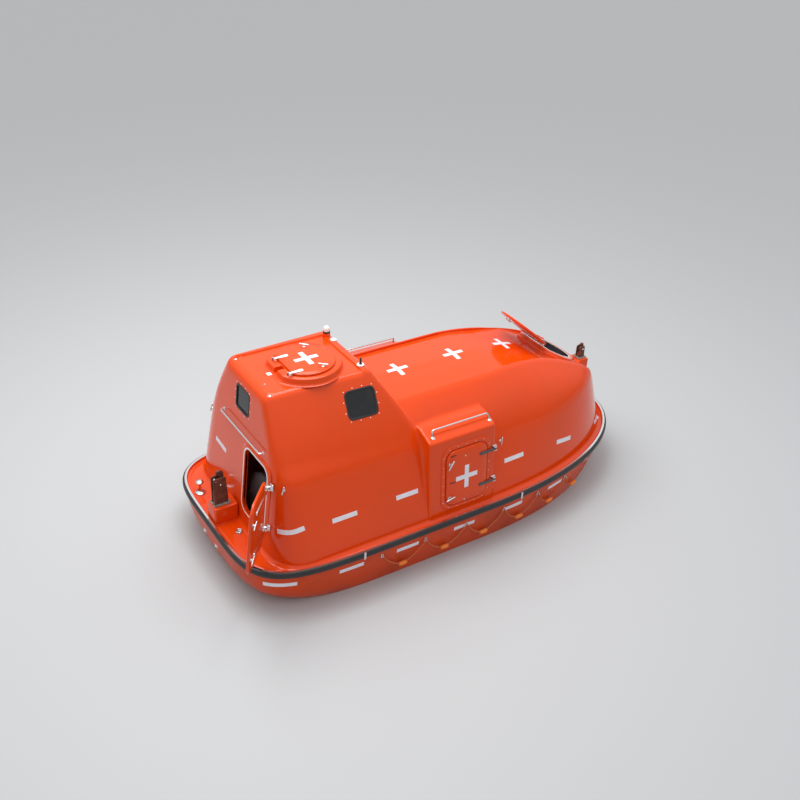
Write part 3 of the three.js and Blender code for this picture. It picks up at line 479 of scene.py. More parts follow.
def build_weathering():
    """Blotches of dust or stain over a colour, with the mask for the roughness."""
    tree, enter, leave = new_tree(
        "weathering", "ShaderNodeTree",
        [("Vector", "Vector"), ("Color", "Color"), ("Stain", "Color"), ("Scale", "Float"),
         ("Amount", "Float"), ("Low", "Float"), ("High", "Float")],
        [("Color", "Color"), ("Mask", "Float")])
    wide = noise(tree, enter["Vector"], enter["Scale"], 6.0, 0.6)
    share = between(tree, wide, enter["Low"], enter["High"])
    mask = math_node(tree, "MULTIPLY", share, enter["Amount"], clamp=True)
    tree.links.new(mixed(tree, mask, enter["Color"], enter["Stain"]), leave["Color"])
    tree.links.new(mask, leave["Mask"])
    return tree


def build_grain():
    """Fine height: long waves and an orange-peel skin."""
    tree, enter, leave = new_tree(
        "surface_grain", "ShaderNodeTree",
        [("Vector", "Vector"), ("Wave", "Float"), ("Wave Scale", "Float"), ("Peel", "Float"),
         ("Peel Scale", "Float")], [("Height", "Float")])
    wave = noise(tree, enter["Vector"], enter["Wave Scale"], 1.0)
    peel = noise(tree, enter["Vector"], enter["Peel Scale"], 2.0)
    high = math_node(tree, "MULTIPLY", wave, enter["Wave"])
    low = math_node(tree, "MULTIPLY", peel, enter["Peel"])
    tree.links.new(math_node(tree, "ADD", high, low), leave["Height"])
    return tree


WEATHERING = build_weathering()
GRAIN = build_grain()
MASK_GAIN = 0.25


def finish(name, colour, rough, stain=None, amount=0.3, scale=3.0, low=0.45, high=0.8, wave=0.0,
           wave_scale=1.6, peel=1.0, peel_scale=180.0, relief=0.002, **sockets):
    """A weathered material; sockets are the shader's own values by name."""
    material = bpy.data.materials.new(name)
    material.use_nodes = True
    tree = material.node_tree
    shader = tree.nodes["Principled BSDF"].inputs
    place = tree.nodes.new("ShaderNodeTexCoord").outputs["Object"]
    worn = wired(tree, "ShaderNodeGroup", {
        "Vector": place, "Color": colour, "Stain": stain or tuple(c * 0.6 for c in colour), "Scale": scale,
        "Amount": amount, "Low": low, "High": high}, node_tree=WEATHERING).outputs
    gain = math_node(tree, "MULTIPLY", worn["Mask"], MASK_GAIN)
    grain = wired(tree, "ShaderNodeGroup", {
        "Vector": place, "Wave": wave, "Wave Scale": wave_scale, "Peel": peel, "Peel Scale": peel_scale},
        node_tree=GRAIN).outputs
    bump = wired(tree, "ShaderNodeBump", {"Distance": relief, "Height": grain["Height"]}).outputs
    put(tree, shader["Base Color"], worn["Color"])
    put(tree, shader["Roughness"], math_node(tree, "ADD", gain, rough, clamp=True))
    put(tree, shader["Normal"], bump["Normal"])
    for label, value in sockets.items():
        shader[label.replace("_", " ")].default_value = value
    return material


GELCOAT_SKIN = {"wave": 1.0, "peel": 0.03, "peel_scale": 260.0, "relief": 0.004,
                "Specular_IOR_Level": 0.15}
GELCOAT = finish("orange_gelcoat", (0.72, 0.056, 0.002), 0.16, stain=(0.60, 0.06, 0.006), amount=0.5,
                 scale=1.3, Coat_Weight=0.42, Coat_Roughness=0.05, **GELCOAT_SKIN)
HULL_GELCOAT = finish("hull_gelcoat", (0.60, 0.05, 0.003), 0.3, stain=(0.26, 0.035, 0.01), amount=0.6,
                      scale=2.2, Coat_Weight=0.2, Coat_Roughness=0.12, **GELCOAT_SKIN)
RUBBER = finish("fender_rubber", (0.012, 0.012, 0.014), 0.42, stain=(0.05, 0.05, 0.05), scale=9.0,
                peel_scale=300.0, relief=0.0004)
STAINLESS = finish("stainless_steel", (0.72, 0.73, 0.74), 0.12, stain=(0.45, 0.42, 0.38), amount=0.35,
                   scale=14.0, peel_scale=420.0, relief=0.0002, Metallic=1.0)
RUSTY = finish("rusty_steel", (0.115, 0.045, 0.032), 0.55, stain=(0.26, 0.10, 0.05), amount=0.8, scale=16.0,
               low=0.4, high=0.7, peel_scale=160.0, relief=0.0012, Metallic=0.35)
TAPE = finish("reflective_tape", (0.74, 0.73, 0.79), 0.38, stain=(0.5, 0.45, 0.45), amount=0.35, scale=11.0,
              peel_scale=700.0, relief=0.0003)
DARK_GLASS = finish("dark_glazing", (0.010, 0.011, 0.012), 0.08, stain=(0.03, 0.03, 0.028), amount=0.4,
                    scale=7.0, peel=0.0, Specular_IOR_Level=0.35)
LINER = finish("liner", (0.42, 0.40, 0.36), 0.5, stain=(0.2, 0.18, 0.15), peel_scale=90.0, relief=0.0006)
GREY_VINYL = finish("grey_vinyl", (0.045, 0.047, 0.052), 0.5, stain=(0.09, 0.09, 0.09), scale=5.0,
                    peel_scale=220.0, relief=0.0008)
ENGINE_PAINT = finish("engine_paint", (0.05, 0.10, 0.15), 0.45, stain=(0.03, 0.03, 0.03), scale=8.0)
WHITE_PLASTIC = finish("white_plastic", (0.80, 0.80, 0.78), 0.3, stain=(0.5, 0.48, 0.42), scale=20.0,
                       peel_scale=200.0, relief=0.0002)
BRONZE = finish("cast_bronze", (0.46, 0.29, 0.11), 0.3, stain=(0.12, 0.16, 0.10), amount=0.6, scale=12.0,
                peel_scale=120.0, relief=0.0005, Metallic=1.0)
ROPE = finish("orange_rope", (0.62, 0.13, 0.03), 0.8, stain=(0.25, 0.10, 0.05), scale=30.0,
              peel_scale=260.0, relief=0.001)
DARK_STEEL = finish("dark_steel", (0.10, 0.10, 0.105), 0.28, stain=(0.2, 0.16, 0.12), scale=18.0,
                    peel_scale=200.0, relief=0.0003, Metallic=0.8)
WORN_STEEL = finish("worn_steel", (0.40, 0.40, 0.38), 0.45, stain=(0.16, 0.08, 0.05), amount=0.8,
                    scale=22.0, low=0.42, high=0.65, peel_scale=140.0, relief=0.0008, Metallic=0.5)
GREY_CLOTH = finish("grey_cover_cloth", (0.72, 0.74, 0.80), 0.85, stain=(0.5, 0.52, 0.57), amount=0.7,
                    scale=7.0, wave=1.0, wave_scale=9.0, peel=0.1, peel_scale=600.0, relief=0.02)
RED_TRIM = finish("dark_red_trim", (0.16, 0.006, 0.006), 0.3, scale=20.0, relief=0.0002)
FLOAT_FOAM = finish("orange_float", (0.85, 0.20, 0.02), 0.5, stain=(0.45, 0.12, 0.03), scale=18.0,
                    peel_scale=150.0, relief=0.0008)


# Skins: rays from a spine, round its ends and square to it along the sides
def spine_columns():
    half = math.pi / 2
    stern = [(SPINE["aft"], math.pi - math.radians(a)) for a in np.arange(0, 90, 2.5)]
    stations = list(np.linspace(SPINE["aft"], SPINE["fore"], 138))
    for edge in (DOOR_BOX["x0"], DOOR_BOX["x1"], LIP["x"]):
        stations += [edge + d for d in (-0.013, -0.008, -0.004, 0.0, 0.004, 0.008, 0.013)]
    side = [(x, half) for x in sorted(stations)]
    turns = [*np.arange(3, 33, 3), *np.arange(33, 57, 1), *np.arange(57, 78, 3), *np.arange(78, 90, 0.75)]
    bow = [(SPINE["fore"], half - math.radians(a)) for a in turns]
    port = stern + side + bow
    ahead = [(SPINE["fore"], 0.0)]
    starboard = [(x, -a) for x, a in reversed(port[1:])]
    return np.array(port + ahead + starboard)


def row_angles(*runs):
    """Elevations in degrees from runs of start, end and step, with the last end."""
    rows = [a for start, end, step in runs for a in np.arange(start, end - 1e-6, step)]
    return np.array([*rows, runs[-1][1]])


COLUMNS = spine_columns()
UP_ROWS = row_angles(
    (0, 0.6, 0.2), (0.6, 2.2, 0.5), (2.2, 4, 0.8), (4, 41, 1.5), (41, 45, 0.5), (45, 60, 1.0), (60, 74, 0.4),
    (74, 76.6, 0.6), (76.6, 78, 0.12), (78, 90, 1.0))
EDGE_ROWS = (60, 74)               # rows that are drawn over the walkway's edge
INNER_UP_ROWS = row_angles((0, 4, 2), (4, 90, 4))
DOWN_ROWS = -row_angles((0, 86, 1.8), (86, 90, 2))
INNER_DOWN_ROWS = -row_angles((0, 86, 6), (86, 90, 4))


def grown(field, level, elevations, base_z, far):
    """Rows of points where rays from the spine leave a level of a field."""
    e = np.radians(elevations)[:, None]
    x0, turn = COLUMNS[:, 0], COLUMNS[:, 1]
    flat = np.where(np.abs(elevations) > 89.9, 0.0, np.cos(e[:, 0]))[:, None]
    dx, dy = flat * np.cos(turn), flat * np.sin(turn)
    dz = np.sin(e) * np.ones_like(dx)
    low, high = np.zeros_like(dx), np.full_like(dx, far)
    for _ in range(30):
        middle = (low + high) / 2
        inside = field(x0 + middle * dx, middle * dy, base_z + middle * dz) < level
        low, high = np.where(inside, middle, low), np.where(inside, high, middle)
    return np.stack([x0 + low * dx, low * dy, base_z + low * dz], axis=2)


def drawn_tight(rows, first, last, rounds=6):
    """Rows between two kept ones are spread evenly along each column and pulled to the canopy."""
    for _ in range(rounds):
        strip = rows[first:last + 1]
        steps = np.linalg.norm(np.diff(strip, axis=0), axis=2)
        runs = np.vstack([np.zeros(steps.shape[1]), np.cumsum(steps, axis=0)])
        for j in range(strip.shape[1]):
            even = np.linspace(0, runs[-1, j], len(strip))
            for axis in range(3):
                strip[:, j, axis] = np.interp(even, runs[:, j], strip[:, j, axis].copy())
        inner = strip[1:-1].reshape(-1, 3)
        strip[1:-1] = onto(canopy_field, inner, rounds=3).reshape(strip[1:-1].shape)


def shell(outer, inner):
    """A closed skin: outer and inner surface joined along the rim."""
    return joined(grid(outer), grid(inner), grid(np.stack([outer[0], inner[0]])))


# Frames on the walls, on the ground plane and upright along the middle
GROUND = standing(0, 0, 0)
UPRIGHT = frame_at((0, 0, 0), (1, 0, 0), (0, -1, 0))
AHEAD = frame_at((0, 0, 0), (0, 1, 0), (1, 0, 0))
DOOR_LEAN = (DOOR_BOX["foot_y"] - DOOR_BOX["top_y"]) / (DOOR_BOX["top"] - DECK_Z)
SIDE_FACE = frame_at((0, -DOOR_BOX["foot_y"], DECK_Z), (1, 0, 0), (0, -1, DOOR_LEAN))
STERN_FACE = frame_at((stern_x(DECK_Z), 0, DECK_Z), (0, 1, 0), (-1, 0, STERN["lean"]))


def up_side(z):
    return (z - DECK_Z) * math.hypot(1, DOOR_LEAN)


def down_stern(z):
    return -(z - DECK_Z) * math.hypot(1, STERN["lean"])


SIDE_DOOR = {"x0": -0.46, "x1": 0.11, "z0": 0.72, "z1": 1.44, "hinge_x": 0.222, "thick": 0.026}
STERN_DOOR = {"y0": -0.72, "y1": -0.13, "z0": 0.77, "z1": 1.62, "hinge_y": -0.79,
              "thick": 0.028, "base": 0.0163, "open": 140.0, "leaf": (-0.732, -0.118, 0.758, 1.632, 0.14),
              "rim": (-0.770, -0.080, 0.72, 1.67, 0.165), "grip_y": -0.175, "arm_y": -0.30}
LID_THICK = 0.026
ROOF_HATCH = {"x": -1.70, "y": -0.11, "z": 2.446, "radius": 0.34, "flat": 0.25, "bore": 0.29}
BOW_HATCH = {"rise": 0.046, "radius": 0.35, "flat": 0.255, "bore": 0.30, "turn": 166.0}
ROOF_FACE = frame_at((ROOF_HATCH["x"], ROOF_HATCH["y"], ROOF_HATCH["z"]), (1, 0, 0), (0, 0, 1))
BOW_NORMAL = unit((FLOOR["slope"], 0, 1))
BOW_FACE = frame_at(np.array([FLOOR["seat_x"], 0, FLOOR["seat_z"]]) + BOW_HATCH["rise"] * BOW_NORMAL,
                    (1, 0, -FLOOR["slope"]), BOW_NORMAL)


def tower_upper(z):
    return TOWER["half"] + TOWER["side"] * (TOWER["z"] - z)


TOWER_SIDE_FACE = frame_at(
    (-1.3, -tower_upper(2.1) - TOWER["flare"] * (-1.3 - STERN["x"]), 2.1),
    (1, -TOWER["flare"], 0), (-TOWER["flare"], -1, TOWER["side"]))
TOWER_FRONT_FACE = frame_at(
    (TOWER["front_x"] + TOWER["front_lean"] * (TOWER["z"] - 2.16), 0, 2.16), (0, 1, 0),
    (1, 0, TOWER["front_lean"]))
# name, frame, low corner, high corner, corner radius, mirrored
WINDOWS = [
    ("window_starboard", TOWER_SIDE_FACE, (-0.172, -0.152), (0.172, 0.142), 0.045, False),
    ("window_port", TOWER_SIDE_FACE, (-0.172, -0.152), (0.172, 0.142), 0.045, True),
    ("window_front_port", TOWER_FRONT_FACE, (0.07, -0.12), (0.40, 0.11), 0.045, False),
    ("window_front_starboard", TOWER_FRONT_FACE, (-0.40, -0.12), (-0.07, 0.11), 0.045, False),
    ("window_stern", STERN_FACE, (-0.15, down_stern(2.215)), (0.15, down_stern(1.95)), 0.04, False),
]


def side_outline(grow, radius):
    """The side door's outline, larger by grow."""
    d = SIDE_DOOR
    return rounded(d["x0"] - grow, up_side(d["z0"] - grow), d["x1"] + grow, up_side(d["z1"] + grow), radius)


def stern_outline(y0, y1, low, high, radius):
    return rounded(y0, down_stern(high), y1, down_stern(low), radius)


def stern_opening():
    s, cut = STERN_DOOR, STERN_CUT
    return stern_outline(s["y0"] + cut, s["y1"] - cut, s["z0"] + cut, s["z1"] - cut, 0.106)


def bore(hatch):
    return dee(hatch["bore"], hatch["flat"] - 0.05)


def canopy_cutters():
    side = plug(side_outline(-DOOR_CUT, 0.09), SIDE_FACE, -0.17, 0.08)
    cuts = [side, mirrored(side), plug(stern_opening(), STERN_FACE, -0.26, 0.08),
            plug(bore(ROOF_HATCH), ROOF_FACE, -0.26, 0.1), plug(bore(BOW_HATCH), BOW_FACE, -0.3, 0.1)]
    for _, at, lo, hi, radius, other in WINDOWS:
        cut = plug(rounded(*lo, *hi, radius), at, -0.16, 0.16)
        cuts.append(mirrored(cut) if other else cut)
    return cuts


def cut_away(made, cutters):
    """Takes closed cutters out of a closed piece."""
    tool = make_object("cutters", joined(*cutters))
    cleaned(tool.data)
    cut = made.modifiers.new("cut", "BOOLEAN")
    cut.operation = "DIFFERENCE"
    cut.solver = "MANIFOLD"
    cut.object = tool
    applied(made)
    bpy.data.objects.remove(tool)


def shade_from(mesh, field, near=0.002, agree=0.8):
    """Loop normals of the faces on the field's surface come from its slope."""
    points = read(mesh.vertices, "co")
    slopes = unit(slope_of(field, points))
    on_skin = np.abs(field(*points.T)) < near
    loops = read(mesh.loops, "vertex_index", 1, int)
    sizes = read(mesh.polygons, "loop_total", 1, int)
    face_normals = np.repeat(read(mesh.polygons, "normal"), sizes, axis=0)
    normals = read(mesh.corner_normals, "vector")
    fits = on_skin[loops] & ((slopes[loops] * face_normals).sum(1) > agree)
    normals[fits] = slopes[loops][fits]
    mesh.normals_split_custom_set(normals.tolist())


CANOPY_NODES = ("wheelhouse", "stern_wall", "canopy_top", "canopy_starboard", "canopy_port")


def add_canopy():
    outer = grown(canopy_field, 0.0, UP_ROWS, DECK_Z, 1.9)
    drawn_tight(outer, *np.searchsorted(UP_ROWS, EDGE_ROWS))
    made = make_object("canopy_skin", shell(outer, grown(lining_field, -WALL, INNER_UP_ROWS, DECK_Z, 1.9)))
    cleaned(made.data)
    cut_away(made, canopy_cutters())
    cleaned(made.data, crease=35)
    shade_from(made.data, canopy_field)
    kept(made, GELCOAT, stands_for=CANOPY_NODES)


def add_hull():
    skin = shell(grown(hull_field, 0.0, DOWN_ROWS, GUNWALE_Z, 1.6),
                 grown(hull_field, -WALL, INNER_DOWN_ROWS, GUNWALE_Z, 1.6))
    made = make_object("hull_skin", skin)
    cleaned(made.data, crease=50)
    shade_from(made.data, hull_field)
    kept(made, HULL_GELCOAT, stands_for=("hull_shell",))
    outline = np.array([(-2.5, KEEL_Z), (1.5, KEEL_Z), (2.15, -0.3), (2.15, -0.15), (-2.3, -0.15),
                        (-2.17, -0.2), (-2.17, KEEL_Z + 0.014), (-2.5, KEEL_Z + 0.014)])
    piece("keel_and_skeg", plug(outline, UPRIGHT, -0.035, 0.035), HULL_GELCOAT, slot="gelcoat",
          stands_for=("hull_shell",), bevel=0.006)


def plan_ring(field, z, level=0.0):
    """Closed line round a field at one height, on the spine's columns."""
    return grown(field, level, np.array([0.0]), z, 2.0)[0]


def gunwale(x, y, z):
    return plan_field(x, y, HULL_HALF_LENGTH, HULL_HALF_LENGTH, HULL_HALF_BEAM)


def ring_rows(line, profile):
    """A plan line carried through rows of outward offset and height."""
    t = unit(np.roll(line, -1, 0) - np.roll(line, 1, 0))
    out = np.column_stack([-t[:, 1], t[:, 0], np.zeros(len(t))])
    return [np.column_stack([(line + offset * out)[:, :2], np.full(len(line), z)]) for offset, z in profile]


def add_deck():
    edge = plan_ring(gunwale, GUNWALE_Z)
    foot = plan_ring(canopy_field, DECK_Z, -0.02)
    flange = DECK_Z - FLANGE_DROP
    outer = ring_rows(edge, [
        (0.0, GUNWALE_Z), (0.0, DECK_Z + 0.026), (-0.003, DECK_Z + 0.029), (-0.009, DECK_Z + 0.029),
        (-0.012, DECK_Z + 0.026), (-0.014, flange + 0.004), (-0.020, flange), (-0.052, flange),
        (-0.058, flange + 0.002), (-0.062, DECK_Z - 0.001), (-0.070, DECK_Z)])
    under = np.column_stack([foot[:, :2], np.full(len(foot), GUNWALE_Z)])
    piece("side_deck_moulding", grid([*outer, foot, under, outer[0]]), GELCOAT, slot="gelcoat",
          stands_for=("side_deck",), crease=50)


def add_fender():
    edge = plan_ring(gunwale, GUNWALE_Z)
    low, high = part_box("fender")[0].z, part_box("fender")[1].z
    middle, half = (low + high) / 2, (high - low) / 2
    turns = np.linspace(-math.pi / 2, math.pi / 2, 13)
    bulge = [(0.012 + 0.028 * math.cos(a), middle + half * math.sin(a)) for a in turns]
    piece("fender_moulding", grid(ring_rows(edge, [(0.0004, low), *bulge, (0.0004, high), (0.0004, low)])),
          RUBBER, slot="fender_rubber", stands_for=("fender",), crease=60)
    top = DECK_Z + 0.029
    strip = [(-0.012, top), (0.001, top), (0.013, high - 0.001), (0.013, high + 0.002), (0.0, top + 0.008),
             (-0.012, top + 0.008), (-0.012, top)]
    piece("fender_strip", grid(ring_rows(edge, strip)), STAINLESS, slot="stainless", crease=60)


# Thin films on the skin: tape strips and crosses
def skin_frame(point, along=(1, 0, 0)):
    """Frame on the canopy nearest a point, with its normal outward."""
    spot = onto(canopy_field, [point])[0]
    normal = unit(slope_of(canopy_field, spot[None])[0])
    run = np.asarray(along, float)
    return frame_at(spot, run - run @ normal * normal, normal)


def resampled(path, ends):
    """Points evenly along a bent line; ends gives their shares from the line's length."""
    path = np.asarray(path, float)
    runs = np.concatenate([[0], np.cumsum(np.linalg.norm(np.diff(path, axis=0), axis=1))])
    even = ends(runs[-1])
    return np.column_stack([np.interp(even, runs, column) for column in path.T])


def spread(path, step):
    """Points along a line, at most a step apart."""
    return resampled(path, lambda end: np.linspace(0, end, max(2, int(math.ceil(end / step)) + 1)))


def evenly(outline, count):
    """Points evenly round an outline."""
    return resampled(np.vstack([outline, outline[:1]]), lambda end: (np.arange(count) + 0.5) / count * end)


def strip(path, width, field):
    """A strip laid on the skin along a path, with its under side in the skin."""
    middle = onto(field, spread(path, 0.012))
    normal = unit(slope_of(field, middle))
    across = width * unit(np.cross(normal, unit(np.gradient(middle, axis=0))))
    rows = [(share, FILM) for share in (-0.5, -0.25, 0, 0.25, 0.5)] + [(0.5, -FILM), (-0.5, -FILM)]
    rows = [onto(field, middle + share * across, lift=lift) for share, lift in rows]
    return grid(np.stack(rows, axis=1), True)


def cross(at, field, arm=0.15, width=TAPE_WIDTH, cell=TAPE_WIDTH / 2):
    """Two strips that cross, cut as one film."""
    near = np.arange(width / 2, arm + 1e-6, cell)
    lines = np.concatenate([-near[::-1], [0.0], near])
    keys, points, faces = {}, [], []
    for i in range(len(lines) - 1):
        for j in range(len(lines) - 1):
            middle = (lines[i] + lines[i + 1]) / 2, (lines[j] + lines[j + 1]) / 2
            if min(abs(middle[0]), abs(middle[1])) > width / 2:
                continue
            face = []
            for u, v in ((i, j), (i + 1, j), (i + 1, j + 1), (i, j + 1)):
                if (u, v) not in keys:
                    keys[(u, v)] = len(points)
                    points.append((lines[u], lines[v]))
                face.append(keys[(u, v)])
            faces.append(tuple(face))
    flat = in_frame(points, 0.0, at)
    top = onto(field, flat, at[:, 2], lift=FILM)
    low = onto(field, flat, at[:, 2], lift=-FILM)
    count = len(points)
    edges = {(f[k], f[(k + 1) % 4]) for f in faces for k in range(4)}
    sides = [(a, a + count, b + count, b) for a, b in edges if (b, a) not in edges]
    under = [tuple(k + count for k in f[::-1]) for f in faces]
    return np.concatenate([top, low]), faces + under + sides


# Points along each strip on the canopy's starboard side, from the stern to the bow; port is its mirror
SIDE_TAPES = [
    [(-2.468, -0.931, 0.970), (-2.36, -1.05, 0.995), (-2.223, -1.089, 1.028)],
    [(-1.89, -1.12, 1.0), (-1.58, -1.12, 1.0)],
    [(-1.071, -1.10, 1.0), (-0.781, -1.10, 1.0)],
    [(0.46, -1.09, 0.98), (0.76, -1.09, 0.98)],
    [(1.344, -1.013, 0.914), (1.62, -0.94, 0.86)],
    [(2.331, -0.665, 0.695), (2.48, -0.57, 0.64), (2.605, -0.455, 0.59)],
]
# Height of the hull's strips, and the ends of each along X
TAPE_Z = 0.40
HULL_TAPES = [(-2.70, -2.38), (-1.89, -1.585), (-1.15, -0.855), (-0.355, -0.06), (0.39, 0.68), (1.14, 1.40)]
STERN_TAPE = [(-2.472, 0.628, 1.248), (-2.474, 0.348, 1.228)]
WALKWAY_CROSSES = [-0.41, 0.39, 1.147]


def add_tapes():
    strips = [strip(curved(points), TAPE_WIDTH, canopy_field) for points in SIDE_TAPES]
    for x0, x1 in HULL_TAPES:
        xs = np.linspace(x0, x1, 9)
        path = onto(hull_field, [(x, -1.1, TAPE_Z) for x in xs], np.array((0, -1.0, 0)))
        strips.append(strip(path, TAPE_WIDTH, hull_field))
    strips += [mirrored(form) for form in strips]
    strips.append(strip(STERN_TAPE, TAPE_WIDTH, canopy_field))
    for x in WALKWAY_CROSSES:
        strips.append(cross(standing(x, 0, 2.0), canopy_field))
    piece("reflective_tapes", joined(*strips), TAPE, crease=60)


# Geometry Nodes: pipes along paths and heads of screws


def close_tree(tree, enter, leave, geometry):
    """Instances made real, with the material that was asked for."""
    real = wired(tree, "GeometryNodeRealizeInstances", {"Geometry": geometry}).outputs[0]
    smooth = wired(tree, "GeometryNodeSetShadeSmooth", {"Geometry": real}).outputs[0]
    painted = wired(tree, "GeometryNodeSetMaterial", {"Geometry": smooth, "Material": enter["Material"]})
    tree.links.new(painted.outputs[0], leave[0])
    return tree


def build_pipe():
    tree, enter, leave = new_tree("pipe_along_path", "GeometryNodeTree", [
        ("Geometry", "Geometry"), ("Radius", "Float"), ("Sides", "Int"), ("Material", "Material")],
        [("Geometry", "Geometry")])
    line = wired(tree, "GeometryNodeMeshToCurve", {"Mesh": enter["Geometry"]}).outputs[0]
    ring = wired(tree, "GeometryNodeCurvePrimitiveCircle", {
        "Resolution": enter["Sides"], "Radius": enter["Radius"]}).outputs[0]
    pipe = wired(tree, "GeometryNodeCurveToMesh", {"Curve": line, "Profile Curve": ring, "Fill Caps": True})
    return close_tree(tree, enter, leave, pipe.outputs[0])


def build_screws():
    tree, enter, leave = new_tree("screw_heads", "GeometryNodeTree", [
        ("Geometry", "Geometry"), ("Radius", "Float"), ("Height", "Float"), ("Material", "Material")],
        [("Geometry", "Geometry")])
    ball = wired(tree, "GeometryNodeMeshUVSphere", {
        "Radius": enter["Radius"], "Segments": 12, "Rings": 7}).outputs[0]
    share = math_node(tree, "DIVIDE", enter["Height"], enter["Radius"])
    scale = wired(tree, "ShaderNodeCombineXYZ", {"X": 1.0, "Y": 1.0, "Z": share}).outputs[0]
    head = wired(tree, "GeometryNodeTransform", {"Geometry": ball, "Scale": scale}).outputs[0]
    way = wired(tree, "GeometryNodeInputNamedAttribute", {"Name": "outward"}, data_type="FLOAT_VECTOR")
    turn = wired(tree, "FunctionNodeAlignRotationToVector", {"Vector": way.outputs[0]}, axis="Z")
    many = wired(tree, "GeometryNodeInstanceOnPoints", {
        "Points": enter["Geometry"], "Instance": head, "Rotation": turn.outputs[0]})
    return close_tree(tree, enter, leave, many.outputs[0])


PIPE = build_pipe()
SCREWS = build_screws()


def grown_by(tree, made, material, values):
    """Runs a tree on a piece and keeps the result as its plain mesh."""
    modifier = made.modifiers.new("shape", "NODES")
    modifier.node_group = tree
    values = {"Material": material, **values}
    for item in tree.interface.items_tree:
        if item.in_out == "INPUT" and item.name in values:
            modifier[item.identifier] = values[item.name]
    applied(made)
    cleaned(made.data, crease=50)


def curved(points, each=8):
    """A smooth line through points."""
    p = np.asarray(points, float)
    p = np.vstack([2 * p[0] - p[1], p, 2 * p[-1] - p[-2]])
    t = np.linspace(0, 1, each, endpoint=False)[:, None]
    rows = []
    for a, b, c, d in zip(p[:-3], p[1:-2], p[2:-1], p[3:]):
        rows.append(0.5 * (2 * b + (c - a) * t + (2 * a - 5 * b + 4 * c - d) * t**2
                           + (3 * b - a - 3 * c + d) * t**3))
    return np.vstack([*rows, p[-2]])


def pipes(name, lines, radius, material, sides=12, stands_for=()):
    points, edges = [], []
    for line in lines:
        edges += [(len(points) + i, len(points) + i + 1) for i in range(len(line) - 1)]
        points += [tuple(p) for p in line]
    made = make_object(name, (points, []), edges)
    grown_by(PIPE, made, material, {"Radius": radius, "Sides": sides})
    return kept(made, material, stands_for=stands_for)


def screws(name, spots, radius, material, body="boat"):
    """Domed heads on spots: rows of place and outward direction."""
    made = make_object(name, ([place for place, _ in spots], []))
    outward = made.data.attributes.new("outward", "FLOAT_VECTOR", "POINT")
    outward.data.foreach_set("vector", np.array([out for _, out in spots], float).ravel())
    grown_by(SCREWS, made, material, {"Radius": radius, "Height": radius * 0.55})
    return kept(made, material, body)


def mirrored_spots(spots):
    flip = np.array((1, -1, 1))
    return [(place * flip, out * flip) for place, out in spots]


def pill(a, b, radius, sides=12):
    """A round bar with domed ends."""
    a, b = np.asarray(a, float), np.asarray(b, float)
    way, length = unit(b - a), np.linalg.norm(b - a)
    side = (0, 0, 1) if abs(way[2]) < 0.9 else (1, 0, 0)
    dome = [(radius * math.sin(t), radius * math.cos(t)) for t in np.linspace(0.08, math.pi / 2, 5)]
    low = [(r, -h) for r, h in dome]
    high = [(r, length + h) for r, h in reversed(dome)]
    return turned(low + high, frame_at(a, np.cross(side, way), way), sides)


def knuckle(x, y, reach, high, radius, at):
    """A short bar across an arm at its hinge line."""
    return pill(*in_frame([(x, y - reach), (x, y + reach)], high, at), radius)


def handle(x, y, angle, high, at, boss, bar, sides=18):
    """A bar on a round boss; the bar is half its length, its height and its radius."""
    reach, level, radius = bar
    way = reach * np.array([math.cos(math.radians(angle)), math.sin(math.radians(angle))])
    ends = in_frame([np.array((x, y)) - way, np.array((x, y)) + way], high + level, at)
    return joined(turned(boss, moved(at, x, y, high), sides), pill(*ends, radius))


def toggle(x, y, angle, high, at, reach=0.05):
    """A turning handle on a round boss."""
    boss = [(0.0, 0.0), (0.022, 0.0), (0.022, 0.005), (0.012, 0.009), (0.011, 0.026), (0.0, 0.03)]
    return handle(x, y, angle, high, at, boss, (reach, 0.026, 0.008))


def hinge_block(x, y, gap, high, foot, at):
    """Two cheeks either side of an arm on a foot: its reach aft and forward, half width, low and high."""
    forms = []
    for k in (-1, 1):
        y0, y1 = sorted((y + k * gap, y + k * (gap + 0.01)))
        forms.append(banked(rounded(x - 0.02, y0, x + 0.02, y1, 0.003, 3),
                            [(0, -0.002), (0, high), (0.003, high + 0.004)], at))
    aft, fore, half, low, top = foot
    return [*forms, plate(rounded(x - aft, y - half, x + fore, y + half, 0.01, 5), low, top, at)]


def paddle(x0, x1, y, wide, narrow, low, thick, at):
    """A flat arm that widens to a round end at x0, laid in a frame."""
    way = 1 if x0 > x1 else -1
    end = arc((x0 - way * wide, y), wide, -math.pi / 2, math.pi / 2, 10)
    if way < 0:
        end = np.column_stack([2 * (x0 + wide) - end[:, 0], end[:, 1]])
        outline = np.vstack([end[::-1], [(x1, y - narrow), (x1, y + narrow)]])
    else:
        outline = np.vstack([end, [(x1, y + narrow), (x1, y - narrow)]])
    return banked(outline, [(0, low), (0, low + thick * 0.7), (thick * 0.3, low + thick)], at)


# Windows
def add_windows():
    gaskets, spots = [], []
    for _, at, lo, hi, radius, other in WINDOWS:
        outer, inner, wide = [
            rounded(lo[0] - grow, lo[1] - grow, hi[0] + grow, hi[1] + grow, radius + more)
            for grow, more in ((GASKET, GASKET), (-0.007, -0.007), (0.034, 0.03))]
        rim = band(outer, inner, [(0, -0.002), (0, 0.003), (0.2, 0.0055), (0.7, 0.0055), (1, 0.002),
                                  (1, -0.012)], at, canopy_field)
        places = onto(canopy_field, in_frame(evenly(wide, 12), 0.0, at), at[:, 2])
        heads = list(zip(places, unit(slope_of(canopy_field, places))))
        gaskets.append(mirrored(rim) if other else rim)
        spots += mirrored_spots(heads) if other else heads
    piece("window_gaskets", joined(*gaskets), RUBBER, crease=50)
    screws("window_screws", spots, 0.0065, WHITE_PLASTIC)


